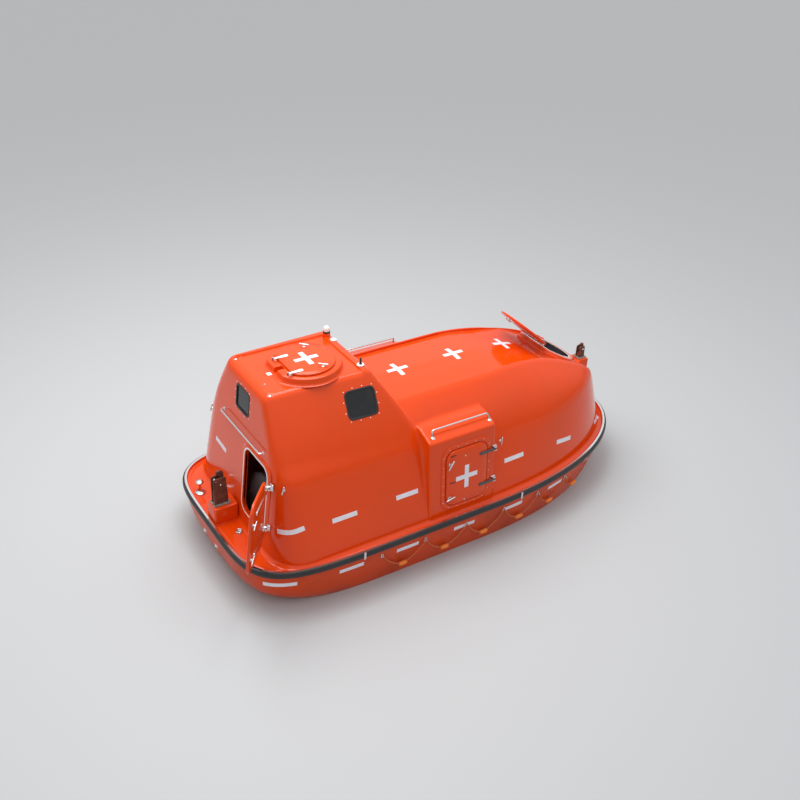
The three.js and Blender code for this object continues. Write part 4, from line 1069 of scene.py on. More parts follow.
# Side doors: raised ring, leaf, arms, handles and cross, drawn to starboard
SIDE_ARMS = (0.22, 0.8)            # shares of the door's height
SIDE_GRIPS = ((0.16, 12), (0.78, 55))
SIDE_SLOTS = (1.385, 1.03)
SIDE_BOLTS = ((-0.203, 1.337), (-0.203, 0.745), (-0.43, 1.22))


def at_height(share):
    low, high = up_side(SIDE_DOOR["z0"]), up_side(SIDE_DOOR["z1"])
    return low + (high - low) * share


def side_door_forms():
    """Leaf, arms, grips, dark slots and cross of the starboard door."""
    d, t = SIDE_DOOR, SIDE_DOOR["thick"]
    x0, hinge = d["x0"], d["hinge_x"]
    leaf = banked(side_outline(0, 0.12), [
        (0.004, 0.0006), (0.0, 0.004), (0.0, t - 0.010), (0.003, t - 0.004), (0.010, t), (0.05, t),
        (0.058, t + 0.0025), (0.066, t + 0.003)], SIDE_FACE)
    arms, grips, slots = [], [], []
    for y in map(at_height, SIDE_ARMS):
        arms.append(paddle(x0 + 0.455, hinge, y, 0.021, 0.011, t + 0.002, 0.012, SIDE_FACE))
        arms.append(knuckle(hinge, y, 0.014, t, 0.013, SIDE_FACE))
    boss = [(0.0, 0.0), (0.024, 0.0), (0.024, 0.006), (0.014, 0.010), (0.012, 0.030), (0.0, 0.034)]
    for share, tilt in SIDE_GRIPS:
        grips.append(handle(x0 + 0.042, at_height(share), tilt, t, SIDE_FACE, boss,
                            (0.055, 0.029, 0.0095), 20))
    for y in map(up_side, SIDE_SLOTS):
        slot = rounded(x0 + 0.045, y - 0.008, x0 + 0.125, y + 0.008, 0.0075, 4)
        slots.append(banked(slot, [(0, t - 0.002), (0, t + 0.0045), (0.002, t + 0.0055)], SIDE_FACE))
    at = moved(SIDE_FACE, (d["x0"] + d["x1"]) / 2 - 0.007, up_side(1.061), t + 0.0028)
    return leaf, arms, grips, slots, plain_cross(at)


def plain_cross(at, arm=0.15, width=0.058):
    """A cross of tape on a flat face."""
    w = width / 2
    quarter = np.array([(arm, w), (w, w), (w, arm)])
    turns = [(1, 0), (0, 1), (-1, 0), (0, -1)]
    return plug(np.vstack([quarter @ np.array([(c, s), (-s, c)]) for c, s in turns]), at, 0.0, 2 * FILM)


def add_side_doors():
    ring = band(side_outline(0.062, 0.15), side_outline(0.012, 0.13), [
        (0, -0.004), (0, 0.006), (0.12, 0.011), (0.3, 0.012), (0.8, 0.012), (0.94, 0.010), (1, 0.006),
        (1, -0.004)], SIDE_FACE)
    seal = band(side_outline(-0.004, 0.118), side_outline(-0.036, 0.09), [
        (0, -0.001), (0, 0.0004), (0.6, 0.0004), (1.0, -0.004), (1.0, -0.028), (0.9, -0.028)], SIDE_FACE)
    out = SIDE_FACE[:, 2]
    heads = [(p + 0.011 * out, out) for p in in_frame(evenly(side_outline(0.038, 0.14), 22), 0.0, SIDE_FACE)]
    bolts = [(x, up_side(z)) for x, z in SIDE_BOLTS]
    bolts = [(p, out) for p in in_frame(bolts, SIDE_DOOR["thick"] + 0.002, SIDE_FACE)]
    blocks = []
    for y in map(at_height, SIDE_ARMS):
        blocks += hinge_block(SIDE_DOOR["hinge_x"], y, 0.016, 0.034, (0.03, 0.034, 0.038, -0.001, 0.004),
                              SIDE_FACE)
    leaf, arms, grips, slots, tape = side_door_forms()
    for side, flip, turn in (("starboard", tuple, list), ("port", mirrored, mirrored_spots)):
        door = f"{side}_door"
        rides = {"body": door, "stands_for": (door,)}
        piece(f"{door}_ring", flip(ring), GELCOAT, slot="gelcoat")
        piece(f"{door}_seal", flip(seal), RUBBER)
        piece(f"{door}_hinge_blocks", flip(joined(*blocks)), STAINLESS)
        piece(f"{door}_leaf", flip(leaf), GELCOAT, slot="gelcoat", **rides)
        piece(f"{door}_arms", flip(joined(*arms)), DARK_STEEL, **rides)
        piece(f"{door}_grips", flip(joined(*grips)), STAINLESS, **rides)
        piece(f"{door}_slots", flip(joined(*slots)), RED_TRIM, body=door)
        piece(f"{door}_cross", flip(tape), TAPE, body=door)
        screws(f"{door}_screws", turn(heads), SCREW, STAINLESS)
        screws(f"{door}_bolts", turn(bolts), 0.009, STAINLESS, body=door)


# Hatches
def swung(at, hinge, axis, degrees):
    """A placement turned about a hinge line."""
    turn = np.array(Matrix.Rotation(math.radians(degrees), 3, Vector(axis)))
    hinge = np.asarray(hinge, float)
    return np.column_stack([turn @ at[:, :3], turn @ (at[:, 3] - hinge) + hinge])


LID_BACK = 0.04
BOW_PIVOT = in_frame([(-BOW_HATCH["flat"] - LID_BACK, 0)], LID_THICK, BOW_FACE)[0]
BOW_OPEN = swung(BOW_FACE, BOW_PIVOT, (0, -1, 0), BOW_HATCH["turn"])
STERN_TOP = STERN_DOOR["base"] + STERN_DOOR["thick"]
STERN_PIVOT = in_frame([(STERN_DOOR["hinge_y"], 0)], STERN_TOP, STERN_FACE)[0]
STERN_OPEN = swung(STERN_FACE, STERN_PIVOT, -STERN_FACE[:, 1], STERN_DOOR["open"])


def lid_form(hatch, at, hollow=0.010):
    """A lid with a rolled edge, a stepped top and a recess below."""
    t = LID_THICK
    return banked(dee(hatch["radius"], hatch["flat"]), [
        (0.062, hollow), (0.055, hollow - 0.001), (0.05, 0.002), (0.044, 0.0008), (0.007, 0.0008),
        (0.0, 0.005), (0.0, t - 0.010), (0.003, t - 0.004), (0.010, t), (0.035, t), (0.042, t + 0.003),
        (0.05, t + 0.004)], at)


def lid_arms(hatch, rows, wide, narrow, lift, thick, at):
    """Two flat arms from the hinge line onto the lid."""
    return [paddle(-0.125, -hatch["flat"] - LID_BACK, y, wide, narrow, LID_THICK + lift, thick, at)
            for y in rows]


def hinge_cheeks(hatch, rows, at, low=-0.01):
    """Two cheeks on the coaming at each arm, and the pin between them."""
    forms = []
    x = -hatch["flat"] - LID_BACK
    for y in rows:
        for k in (-1, 1):
            y0, y1 = sorted((y + k * 0.018, y + k * 0.028))
            side = rounded(x - 0.018, low, x + 0.018, LID_THICK + 0.013, 0.012, 5)
            upright = frame_at(in_frame([(0, y0)], 0, at)[0], at[:, 0], -at[:, 1])
            forms.append(plug(side, upright, -(y1 - y0), 0.0))
        forms.append(knuckle(x, y, 0.031, LID_THICK, 0.006, at))
    return joined(*forms)


ROOF_ARMS = (0.135, -0.22)
ROOF_GRIPS = ((0.122, 0.233, -45), (0.101, -0.246, -40))
BOW_ARMS = (-0.15, 0.15)


def add_roof_hatch():
    h, t = ROOF_HATCH, LID_THICK
    down = TOWER["z"] - h["z"]
    coaming = make_object("roof_hatch_coaming", band(dee(0.436, 0.39), bore(h), [
        (0, down - 0.004), (0, down), (0.06, down + 0.003), (0.13, down + 0.010), (0.18, down + 0.024),
        (0.205, -0.012), (0.225, -0.004), (0.26, -0.0004), (0.9, -0.0004), (0.96, -0.003), (1, -0.011),
        (1, down - 0.034)], ROOF_FACE))
    cleaned(coaming.data)
    notch = [(-0.45, -0.055), (-0.262, -0.055), (-0.262, 0.014), (-0.45, 0.014)]
    cut_away(coaming, [plug(notch, ROOF_FACE, down + 0.02, 0.05)])
    cleaned(coaming.data, crease=40)
    kept(coaming, GELCOAT)
    piece("roof_hatch_cheeks", hinge_cheeks(h, ROOF_ARMS, ROOF_FACE), STAINLESS)
    rides = {"body": "roof_hatch", "stands_for": ("roof_hatch_lid",)}
    piece("roof_lid", lid_form(h, ROOF_FACE), GELCOAT, slot="gelcoat", **rides)
    arms = lid_arms(h, ROOF_ARMS, 0.024, 0.012, 0.0035, 0.009, ROOF_FACE)
    piece("roof_lid_arms", joined(*arms), WHITE_PLASTIC, crease=40, **rides)
    grips = [toggle(*place, t + 0.003, ROOF_FACE) for place in ROOF_GRIPS]
    piece("roof_lid_grips", joined(*grips), STAINLESS, crease=45, **rides)
    cross_at = moved(ROOF_FACE, 0.018, -0.01, t + 0.0036)
    piece("roof_lid_cross", plain_cross(cross_at, 0.14), TAPE, body="roof_hatch")


def add_bow_hatch():
    h, t = BOW_HATCH, LID_THICK
    low = -h["rise"]
    outer, inner = dee(0.415, 0.334), bore(h)
    piece("bow_hatch_coaming", band(outer, inner, [
        (0, low - 0.03), (0, low + 0.001), (0.06, low + 0.004), (0.12, low + 0.014), (0.15, low + 0.03),
        (0.17, -0.006), (0.22, -0.0008), (0.9, -0.0008), (0.96, -0.004), (1, -0.012), (1, low - 0.05)],
        BOW_FACE), GELCOAT, slot="gelcoat", crease=40)
    seal = [(0.80, -0.003), (0.80, -0.0005), (0.93, -0.0005), (0.93, -0.003)]
    piece("bow_hatch_seal", band(outer, inner, seal, BOW_FACE), WHITE_PLASTIC)
    trim = [(0.985, low - RUBBER_TRIM), (0.985, -0.0012), (1.015, -0.0012), (1.015, low - RUBBER_TRIM)]
    piece("bow_hatch_trim", band(outer, inner, trim, BOW_FACE), RUBBER)
    piece("bow_hatch_cheeks", hinge_cheeks(h, BOW_ARMS, BOW_FACE), STAINLESS)
    rides = {"body": "bow_hatch", "stands_for": ("bow_hatch_lid",)}
    piece("bow_lid", lid_form(h, BOW_OPEN), GELCOAT, slot="gelcoat", **rides)
    rim = band(dee(h["radius"] - 0.008, h["flat"] - 0.008), dee(h["radius"] - 0.046, h["flat"] - 0.046),
               [(0, 0.002), (0, 0.0004), (1, 0.0004), (1, 0.002)], BOW_OPEN)
    piece("bow_lid_seal", rim, WHITE_PLASTIC, body="bow_hatch")
    piece("bow_lid_cross", plain_cross(moved(BOW_OPEN, 0.03, 0.0, t + 0.0042), 0.14), TAPE, body="bow_hatch")
    arms = lid_arms(h, BOW_ARMS, 0.024, 0.012, 0.0005, 0.010, BOW_OPEN)
    under = frame_at(BOW_OPEN[:, 3], BOW_OPEN[:, 0], -BOW_OPEN[:, 2])
    lever = toggle(-0.13, 0.07, 75, -0.010, under, 0.045)
    catch = toggle(0.255, 0.06, 20, t + 0.0035, BOW_OPEN, 0.04)
    piece("bow_lid_fittings", joined(*arms, lever, catch), STAINLESS, crease=45, **rides)


def add_stern_door():
    x, base, top = STERN_DOOR["hinge_y"], STERN_DOOR["base"], STERN_TOP
    opening = stern_opening()
    edge = stern_outline(*STERN_DOOR["rim"])
    piece("stern_door_rim", band(edge, opening, [
        (0, -0.004), (0, 0.003), (0.15, 0.006), (0.3, 0.0145), (0.38, 0.016), (0.9, 0.016), (1, 0.013),
        (1, -0.02)], STERN_FACE), GELCOAT, slot="gelcoat", crease=45)
    seal = [(0, 0.012), (0, 0.0162), (1, 0.0162), (1, 0.012)]
    piece("stern_door_seal", band(inset(opening, -0.026), inset(opening, -0.008), seal, STERN_FACE),
          WHITE_PLASTIC)
    heads = in_frame(evenly(inset(edge, 0.014), 20), 0.003, STERN_FACE)
    screws("stern_door_screws", [(spot, STERN_FACE[:, 2]) for spot in heads], SCREW, STAINLESS)
    rides = {"body": "stern_door", "stands_for": ("stern_door",)}
    piece("stern_leaf", banked(stern_outline(*STERN_DOOR["leaf"]), [
        (0.06, base + 0.006), (0.05, base + 0.005), (0.044, base + 0.0008), (0.006, base + 0.0008),
        (0, base + 0.005), (0, top - 0.010), (0.003, top - 0.004), (0.010, top), (0.05, top),
        (0.058, top + 0.003), (0.066, top + 0.0035)], STERN_OPEN), GELCOAT, slot="gelcoat", **rides)
    low, high = STERN_DOOR["leaf"][2:4]
    heights = [down_stern(low + share * (high - low)) for share in (0.2, 0.8, 0.25, 0.75)]
    arms = [paddle(STERN_DOOR["arm_y"], x, y, 0.022, 0.012, top + 0.002, 0.011, STERN_OPEN)
            for y in heights[:2]]
    arms += [knuckle(x, y, 0.014, top, 0.012, STERN_OPEN) for y in heights[:2]]
    grips = [toggle(STERN_DOOR["grip_y"], y, 25, top + 0.002, STERN_OPEN) for y in heights[2:]]
    piece("stern_leaf_fittings", joined(*arms, *grips), STAINLESS, crease=45, **rides)
    cheeks = []
    for y in heights[:2]:
        cheeks += hinge_block(x, y, 0.017, top + 0.010, (0.032, 0.026, 0.04, -0.002, 0.005), STERN_FACE)
    piece("stern_door_cheeks", joined(*cheeks), STAINLESS, crease=45)


# Rails, small fittings and hooks
def bent(path, radius, each=6):
    """A line with its corners rounded."""
    path = np.asarray(path, float)
    rows = [path[0]]
    for a, b, c in zip(path[:-2], path[1:-1], path[2:]):
        back, on = a - b, c - b
        r = min(radius, 0.45 * np.linalg.norm(back), 0.45 * np.linalg.norm(on))
        p, q = b + r * unit(back), b + r * unit(on)
        for t in np.linspace(0, 1, each):
            rows.append((1 - t) ** 2 * p + 2 * t * (1 - t) * b + t * t * q)
    return np.vstack([*rows, path[-1]])


def round_foot(at, radius=0.022):
    return turned([(0.0, -0.004), (radius, -0.004), (radius, 0.003), (radius * 0.8, 0.006), (0.0, 0.006)],
                  at, 24)


RAIL_FEET = (-0.590, 0.195)


def add_rails():
    y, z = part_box("rail_port")[0].y + 0.012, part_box("rail_port")[1].z - 0.011
    aft, fore = RAIL_FEET
    line = bent([(aft, -1.045, 1.626), (aft + 0.002, -y, z), (fore - 0.002, -y, z), (fore, -1.045, 1.626)],
                0.05)
    feet = joined(*[round_foot(skin_frame((x, -1.06, 1.63))) for x in RAIL_FEET])
    for side, turn, flip in (("starboard", 1, tuple), ("port", -1, mirrored)):
        pipes(f"side_rail_{side}", [line * (1, turn, 1)], RAIL_RADIUS, STAINLESS,
              stands_for=(f"rail_{side}",))
        piece(f"side_rail_feet_{side}", flip(feet), STAINLESS, crease=45)
    lo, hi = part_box("stern_rail")
    x, z = lo.x + 0.011, (lo.z + hi.z) / 2
    y0, y1 = lo.y + 0.011, hi.y - 0.011
    wall = stern_x(z) + 0.004
    line = bent([(wall, y0, z), (x, y0, z), (x, y1, z), (wall, y1, z)], 0.03)
    pipes("stern_grab_rail", [line], RAIL_RADIUS, STAINLESS, stands_for=("stern_rail",))
    feet = [round_foot(skin_frame((wall, y, z), (0, 1, 0))) for y in (y0, y1)]
    piece("stern_rail_feet", joined(*feet), STAINLESS, crease=45)


def cleat(at, reach=0.042):
    """A two-horned cleat on a round foot."""
    stem = [(0.0, -0.003), (0.02, -0.003), (0.02, 0.004), (0.010, 0.008), (0.009, 0.03), (0.0, 0.034)]
    return handle(0, 0, 0, 0, at, stem, (reach, 0.03, 0.0085))


# Places of the small fittings, and the radius of the roof's feet
CLEATS = ((-2.369, -0.905, 1.467), (0.419, -1.024, 1.247))
ROOF_FEET = ((-2.282, 0.391, 2.366, 0.016), (-2.238, -0.247, TOWER["z"], 0.012),
             (-2.289, -0.470, TOWER["z"], 0.012))
CLIP_STATIONS = (-1.61, 0.60)
STERN_STUDS = ((-2.75, -0.10, 0.30), (-2.75, 0.22, 0.30))
ROOF_PLATE = (-2.083, -0.074, TOWER["z"])
ROOF_BUTTON = (-1.140, 0.244, TOWER["z"] + LIP["high"])
LAMP = (-1.16, 0.37, MAST_Z)
POST = (-1.162, -0.40, MAST_Z)
BOLLARD = (-2.73, 0.59, DECK_Z + CLEAR)
RING = (-2.64, -0.30, DECK_Z + CLEAR)


def add_fittings():
    chrome = []
    for point in CLEATS:
        horn = cleat(skin_frame(point, (0.3, 0, 1)))
        chrome += [horn, mirrored(horn)]
    for *point, radius in ROOF_FEET:
        chrome.append(round_foot(skin_frame(point), radius))
    clip = rounded(-0.013, -0.052, 0.013, 0.046, 0.004, 3)
    for x in CLIP_STATIONS:
        for k in (-1, 1):
            at = frame_at(plan_edge(x) * (1, k, 1), (k, 0, 0), (0, k, 0))
            chrome.append(banked(clip, [(0, 0.03), (0, 0.0435), (0.002, 0.0445)], at))
    for point in STERN_STUDS:
        spot = onto(hull_field, [point], np.array((-1.0, 0, 0)))[0]
        at = frame_at(spot, (0, 1, 0), unit(slope_of(hull_field, spot[None]))[0])
        chrome.append(plate(rounded(-0.035, -0.02, 0.035, 0.02, 0.006, 4), -0.003, 0.004, at))
        chrome.append(turned([(0.0, 0.004), (0.012, 0.004), (0.011, 0.012), (0.0, 0.024)], at, 18))
    piece("chrome_fittings", joined(*chrome), STAINLESS, crease=45)
    piece("ring_socket", turned([
        (0.0, 0.004), (0.02, 0.004), (0.026, 0.008), (0.028, 0.020), (0.034, 0.0238), (0.040, 0.020),
        (0.042, 0.010), (0.044, 0.006), (0.044, 0.0), (0.0, 0.0)],
        standing(*RING), 40), STAINLESS, stands_for=("deck_socket",), slot="stainless")
    lamp = standing(*LAMP), ("mast_light",), 40
    post = standing(*POST), ("antenna_post",)
    # name, frame, replaced node, sides, material, slot, rows of radius and height
    for name, at, nodes, sides, material, slot, profile in (
        ("mushroom_bollard", standing(*BOLLARD), ("bollard",), 48, STAINLESS, "stainless", [
            (0.0, 0.0), (0.062, 0.0), (0.062, 0.008), (0.058, 0.013), (0.024, 0.018), (0.017, 0.026),
            (0.016, 0.10), (0.019, 0.128), (0.034, 0.138), (0.046, 0.146), (0.048, 0.152), (0.044, 0.161),
            (0.030, 0.168), (0.012, 0.1715), (0.0, 0.172)]),
        ("lamp_base", *lamp, GELCOAT, "white_plastic", [
            (0.0, 0.0), (0.046, 0.0), (0.046, 0.006), (0.043, 0.012), (0.043, 0.034), (0.0, 0.034)]),
        ("lamp_ring", *lamp, RUBBER, None, [
            (0.0, 0.034), (0.040, 0.034), (0.042, 0.040), (0.042, 0.050), (0.036, 0.056), (0.0, 0.056)]),
        ("lamp_dome", *lamp, WHITE_PLASTIC, None, [
            (0.0, 0.056), (0.036, 0.056), (0.037, 0.075), (0.034, 0.092), (0.026, 0.107), (0.013, 0.1155),
            (0.0, 0.118)]),
        ("post_base", *post, 36, WHITE_PLASTIC, "white_plastic", [
            (0.0, 0.0), (0.042, 0.0), (0.042, 0.007), (0.038, 0.011), (0.0, 0.012)]),
        ("post_stem", *post, 28, RUBBER, None, [
            (0.0, 0.012), (0.018, 0.012), (0.016, 0.022), (0.012, 0.030), (0.012, 0.076), (0.010, 0.086),
            (0.0, 0.090)]),
    ):
        piece(name, turned(profile, at, sides), material, stands_for=nodes, slot=slot, crease=50)
    flat = rounded(-0.045, -0.03, 0.045, 0.03, 0.006, 4)
    piece("white_plates", joined(plate(flat, -0.001, 0.002, standing(*ROOF_PLATE)),
                                 round_foot(standing(*ROOF_BUTTON), 0.036)), WHITE_PLASTIC)


def plan_edge(x):
    """The gunwale's port edge at a station, at half the fender's height."""
    y = onto(gunwale, [(x, 1.2, 0.0)], np.array([0, 1.0, 0]))[0][1]
    return np.array((x, y, (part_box("fender")[0].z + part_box("fender")[1].z) / 2))


# After end, forward end, centre across, seat, height, half width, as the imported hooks
HOOKS = {"aft": (-2.79, -2.62, 0.04, 0.7903, 0.44, 0.042), "fore": (2.495, 2.595, 0.0, 1.3123, 0.21, 0.034)}


def add_hooks():
    lo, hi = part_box("hook_pedestal")
    outline = rounded(lo.x, lo.y, hi.x, hi.y, 0.03, 6)
    piece("pedestal_moulding", banked(outline, [
        (-0.008, DECK_Z - 0.004), (-0.008, DECK_Z + 0.001), (0.0, DECK_Z + 0.012), (0.0, hi.z - 0.014),
        (0.004, hi.z - 0.004), (0.014, hi.z)], GROUND), GELCOAT, slot="gelcoat",
        stands_for=("hook_pedestal",))
    for end, (x0, x1, y, z, high, half) in HOOKS.items():
        node = (f"{end}_hook",)
        pin_x, pin_z, width = (x0 + x1) / 2, z + high * 0.62, x1 - x0
        base = banked(rounded(x0 - 0.018, y - half - 0.03, x1 + 0.018, y + half + 0.03, 0.012, 5),
                      [(0, z), (0, z + 0.011), (0.002, z + 0.014)], GROUND)
        piece(f"{end}_hook_base", base, WORN_STEEL, stands_for=node)
        top = z + high * 0.82
        cheek = np.vstack([[(x0, z + 0.01), (x1, z + 0.01)],
                           arc((x1 - 0.1 * width - 0.02, top - 0.02), 0.02, 0.0, math.pi / 2, 6),
                           arc((x0 + 0.03, top - 0.03), 0.03, math.pi / 2, math.pi, 6)])
        forms = []
        for k in (-1, 1):
            near, far = sorted((-(y + k * half), -(y + k * (half - 0.012))))
            forms.append(banked(cheek, [(0.002, near), (0, near + 0.002), (0, far - 0.002), (0.002, far)],
                                UPRIGHT))
        forms.append(banked(rounded(x0 + 0.01, y - half + 0.012, x0 + 0.026, y + half - 0.012, 0.002, 2),
                            [(0, z + 0.012), (0, z + 0.34 * high)], GROUND))
        piece(f"{end}_hook_frame", joined(*forms), RUSTY, stands_for=node, slot="rusty_steel")
        bolts = [((x, y + k * (half + 0.018), z + 0.014), (0, 0, 1)) for x in (x0, pin_x, x1)
                 for k in (-1, 1)]
        screws(f"{end}_hook_bolts", bolts, 0.009, RUSTY)
        pins = [pill(*[(pin_x, y + k * (half + 0.004), pin_z) for k in (-1, 1)], 0.0125, 20)]
        roller = [(x0 + 0.034, y + k * (half - 0.014), top - 0.034) for k in (-1, 1)]
        if end == "aft":
            pins.append(pill(*roller, 0.016, 20))
        piece(f"{end}_hook_pin", joined(*pins), STAINLESS, stands_for=node)
        add_jaw(end, frame_at((pin_x, y, pin_z), (1, 0, 0), (0, -1, 0)), 0.42 * width, high)


def add_jaw(end, at, r, high):
    """The turning hook, drawn round its pin: r is its half width."""
    back = [(0.72 * r, 0.1 * high), (0.72 * r, 0.3 * high), (0.45 * r, 0.355 * high), (0.1 * r, 0.378 * high),
            (-0.3 * r, 0.365 * high), (-0.5 * r, 0.34 * high)]
    throat = [(-0.3 * r, 0.25 * high), (0.08 * r, 0.235 * high), (0.12 * r, 0.16 * high), (0.1 * r, 0.72 * r)]
    hook = np.vstack([arc((0, 0), 0.72 * r, math.pi, 2 * math.pi, 16), curved(back, 5),
                      [(-0.5 * r, 0.262 * high)], curved(throat, 4), [(-0.4 * r, 0.6 * r)]])
    jaw = make_object(f"{end}_jaw_form", banked(hook, [
        (0.003, -0.0135), (0, -0.0105), (0, 0.0105), (0.003, 0.0135)], at))
    cleaned(jaw.data)
    cut_away(jaw, [turned([(0.0135, -0.05), (0.0135, 0.05)], at, 24)])
    cleaned(jaw.data)
    kept(jaw, RUSTY, body=f"{end}_jaw", stands_for=(f"{end}_hook_jaw",))


# Lifelines: rope in loops between eyes, with a float in each loop
EYES = [-1.35, -0.765, -0.18, 0.38, 0.94, 1.46, 1.96]
LINE = {"z": 0.43, "sag": 0.25, "off": 0.022, "radius": 0.007}


def hull_side(x, z):
    """Distance of the hull's port side from the centreline."""
    return onto(hull_field, [(x, 1.1, z)], np.array((0, 1.0, 0)))[0][1]


def add_lifelines():
    for side, k in (("port", 1), ("starboard", -1)):
        node = f"lifeline_{side}"
        rope, floats, eyes = [], [], []
        for a, b in zip(EYES[:-1], EYES[1:]):
            for t in np.linspace(0, 1, 16, endpoint=False):
                x, z = a + (b - a) * t, LINE["z"] - LINE["sag"] * 4 * t * (1 - t)
                swell = 0.014 * math.exp(-(((t - 0.5) / 0.13) ** 2))
                rope.append((x, k * (hull_side(x, z) + LINE["off"] + swell), z))
            x, z = (a + b) / 2, LINE["z"] - LINE["sag"]
            p, q = [np.array((end, k * (hull_side(end, z) + 0.036), z)) for end in (x - 0.055, x + 0.055)]
            at = frame_at(p, (0, 0, 1), q - p)
            length = np.linalg.norm(q - p)
            floats.append(turned([(0.012, 0.0), (0.020, 0.004), (0.0255, 0.014), (0.026, 0.03),
                                  (0.026, length - 0.03), (0.0255, length - 0.014), (0.020, length - 0.004),
                                  (0.012, length)], at, 20))
        rope.append((EYES[-1], k * (hull_side(EYES[-1], LINE["z"]) + LINE["off"]), LINE["z"]))
        pipes(f"{node}_rope", [rope], LINE["radius"], ROPE, sides=10, stands_for=(node,))
        piece(f"{node}_floats", joined(*floats), FLOAT_FOAM, stands_for=(node,), crease=50)
        for x in EYES:
            spot = np.array((x, k * hull_side(x, LINE["z"] - 0.02), LINE["z"] - 0.02))
            out = unit(slope_of(hull_field, spot[None]))[0]
            at = frame_at(spot, np.cross((0, 0, 1), out), out)
            eyes.append(plate(rounded(-0.014, -0.036, 0.014, 0.036, 0.008, 4), -0.002, 0.003, at))
            upright = frame_at(in_frame([(0, 0.012)], 0.014, at)[0], out, at[:, 0])
            rows = [in_frame(hoop(0.017, 20) * (1 + 0.24 * math.cos(u)), 0.004 * math.sin(u), upright)
                    for u in np.linspace(0, 2 * math.pi, 9)[:-1]]
            eyes.append(grid([*rows, rows[0]]))
        piece(f"{node}_eyes", joined(*eyes), STAINLESS, stands_for=(node,), crease=50)


# Padded pieces: helm cushions and a grey cover bag in the after well
def swollen(made, pressure, cap):
    """A soft closed form blown out a little, with each point's way capped."""
    mesh = made.data
    start = read(mesh.vertices, "co")
    cloth = made.modifiers.new("cloth", "CLOTH")
    cloth.settings.use_pressure = True
    cloth.settings.uniform_pressure_force = pressure
    cloth.settings.effector_weights.gravity = 0
    scene = bpy.context.scene
    for number in range(1, 21):
        scene.frame_set(number)
    end = read(made.evaluated_get(bpy.context.evaluated_depsgraph_get()).to_mesh().vertices, "co")
    made.modifiers.clear()
    way = end - start
    reach = np.linalg.norm(way, axis=1, keepdims=True)
    way *= np.minimum(1, cap / np.maximum(reach, 1e-9))
    mesh.vertices.foreach_set("co", (start + way).ravel())
    mesh.update()
    scene.frame_set(1)


def pad(name, form, material, stands_for=(), voxel=0.012, pressure=4.0, cap=0.010):
    """A closed form as a soft filled piece."""
    made = make_object(name, form)
    cleaned(made.data)
    remesh = made.modifiers.new("remesh", "REMESH")
    remesh.mode = "VOXEL"
    remesh.voxel_size = voxel
    applied(made)
    swollen(made, pressure, cap)
    finer = made.modifiers.new("finer", "SUBSURF")
    finer.levels = finer.render_levels = 1
    applied(made)
    cleaned(made.data, crease=80)
    kept(made, material, stands_for=stands_for)


SEAT_BOX = {"x0": -1.75, "x1": -1.34, "half": 0.22, "z0": 0.795, "z1": 0.87}
BACK_BOX = {"x0": -1.785, "x1": -1.715, "half": 0.21, "z0": 0.86, "z1": 1.32}
BAG = {"x0": -2.23, "x1": -1.97, "y0": -0.24, "y1": 0.58, "z0": -0.115, "z1": 0.88}


def cushion(name, outline, low, high, at, crown=()):
    """A helm cushion carried from low to high in a frame."""
    profile = [(0.03, low), (0.004, low + 0.012), (0.0, (low + high) / 2), (0.006, high - 0.012),
               (0.035, high), *crown]
    pad(name, banked(outline, profile, at), GREY_VINYL, ("helm_seat",))


def add_soft_pieces():
    c, b = SEAT_BOX, BACK_BOX
    cushion("helm_cushion", rounded(c["x0"], -c["half"], c["x1"], c["half"], 0.05, 6), c["z0"], c["z1"],
            GROUND, [(0.1, c["z1"] + 0.004)])
    cushion("helm_backrest", rounded(-b["half"], b["z0"], b["half"], b["z1"], 0.06, 6), b["x0"], b["x1"],
            AHEAD)
    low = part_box("helm_seat")[0].z
    post = rounded(-1.64, -0.09, -1.46, 0.09, 0.02, 5)
    piece("helm_seat_post", joined(
        banked(post, [(-0.02, low), (-0.02, low + 0.006), (0.0, low + 0.02), (0.0, 0.79), (0.006, 0.796)],
               GROUND),
        banked(rounded(-1.80, -0.03, -1.60, 0.03, 0.008, 4), [(0, 0.775), (0, 0.79)], GROUND),
        banked(rounded(-1.803, -0.03, -1.788, 0.03, 0.003, 3), [(0, 0.775), (0, 1.2)], GROUND)),
        DARK_STEEL, stands_for=("helm_seat",))
    pad("cover_bag", bag_form(), GREY_CLOTH, voxel=0.02, pressure=3.0, cap=0.012)


def full(wave):
    """A wave with fuller corners."""
    return np.sign(wave) * np.abs(wave) ** 0.7


def bag_form():
    """The grey cover: rings that sway, fold and lean to starboard as they rise."""
    g = BAG
    rows, turns = [], np.linspace(0, 2 * math.pi, 49)[:-1]
    half = (g["y1"] - g["y0"]) / 2
    for share, squeeze in ((0.0, 0.82), (0.03, 0.95), (0.2, 1.0), (0.4, 0.93), (0.6, 0.97), (0.8, 0.88),
                           (0.93, 0.74), (1.0, 0.45)):
        folds = 1 + 0.05 * np.sin(5 * turns + 7 * share) + 0.03 * np.sin(9 * turns - 11 * share)
        lean = 0.14 * share * share
        x = (g["x0"] + g["x1"]) / 2 + lean * 0.2 + 0.13 * squeeze * folds * full(np.cos(turns))
        sway = (g["y0"] + g["y1"]) / 2 - lean + 0.03 * math.sin(9 * share)
        y = sway + half * squeeze * folds * full(np.sin(turns))
        z = g["z0"] + (g["z1"] - g["z0"]) * share + 0.03 * share * np.sin(3 * turns + 1)
        rows.append(np.column_stack([x, y, z]))
    return grid(rows, True)


# Drive below the waterline
SHAFT_Z = -0.395
NOZZLE = {"x": -2.395, "inner": 0.168, "thick": 0.016, "length": 0.15}
BLADE = {"x": -2.388, "middle": 0.092, "wide": 0.052, "long": 0.064, "count": 3, "pitch": 60.0}


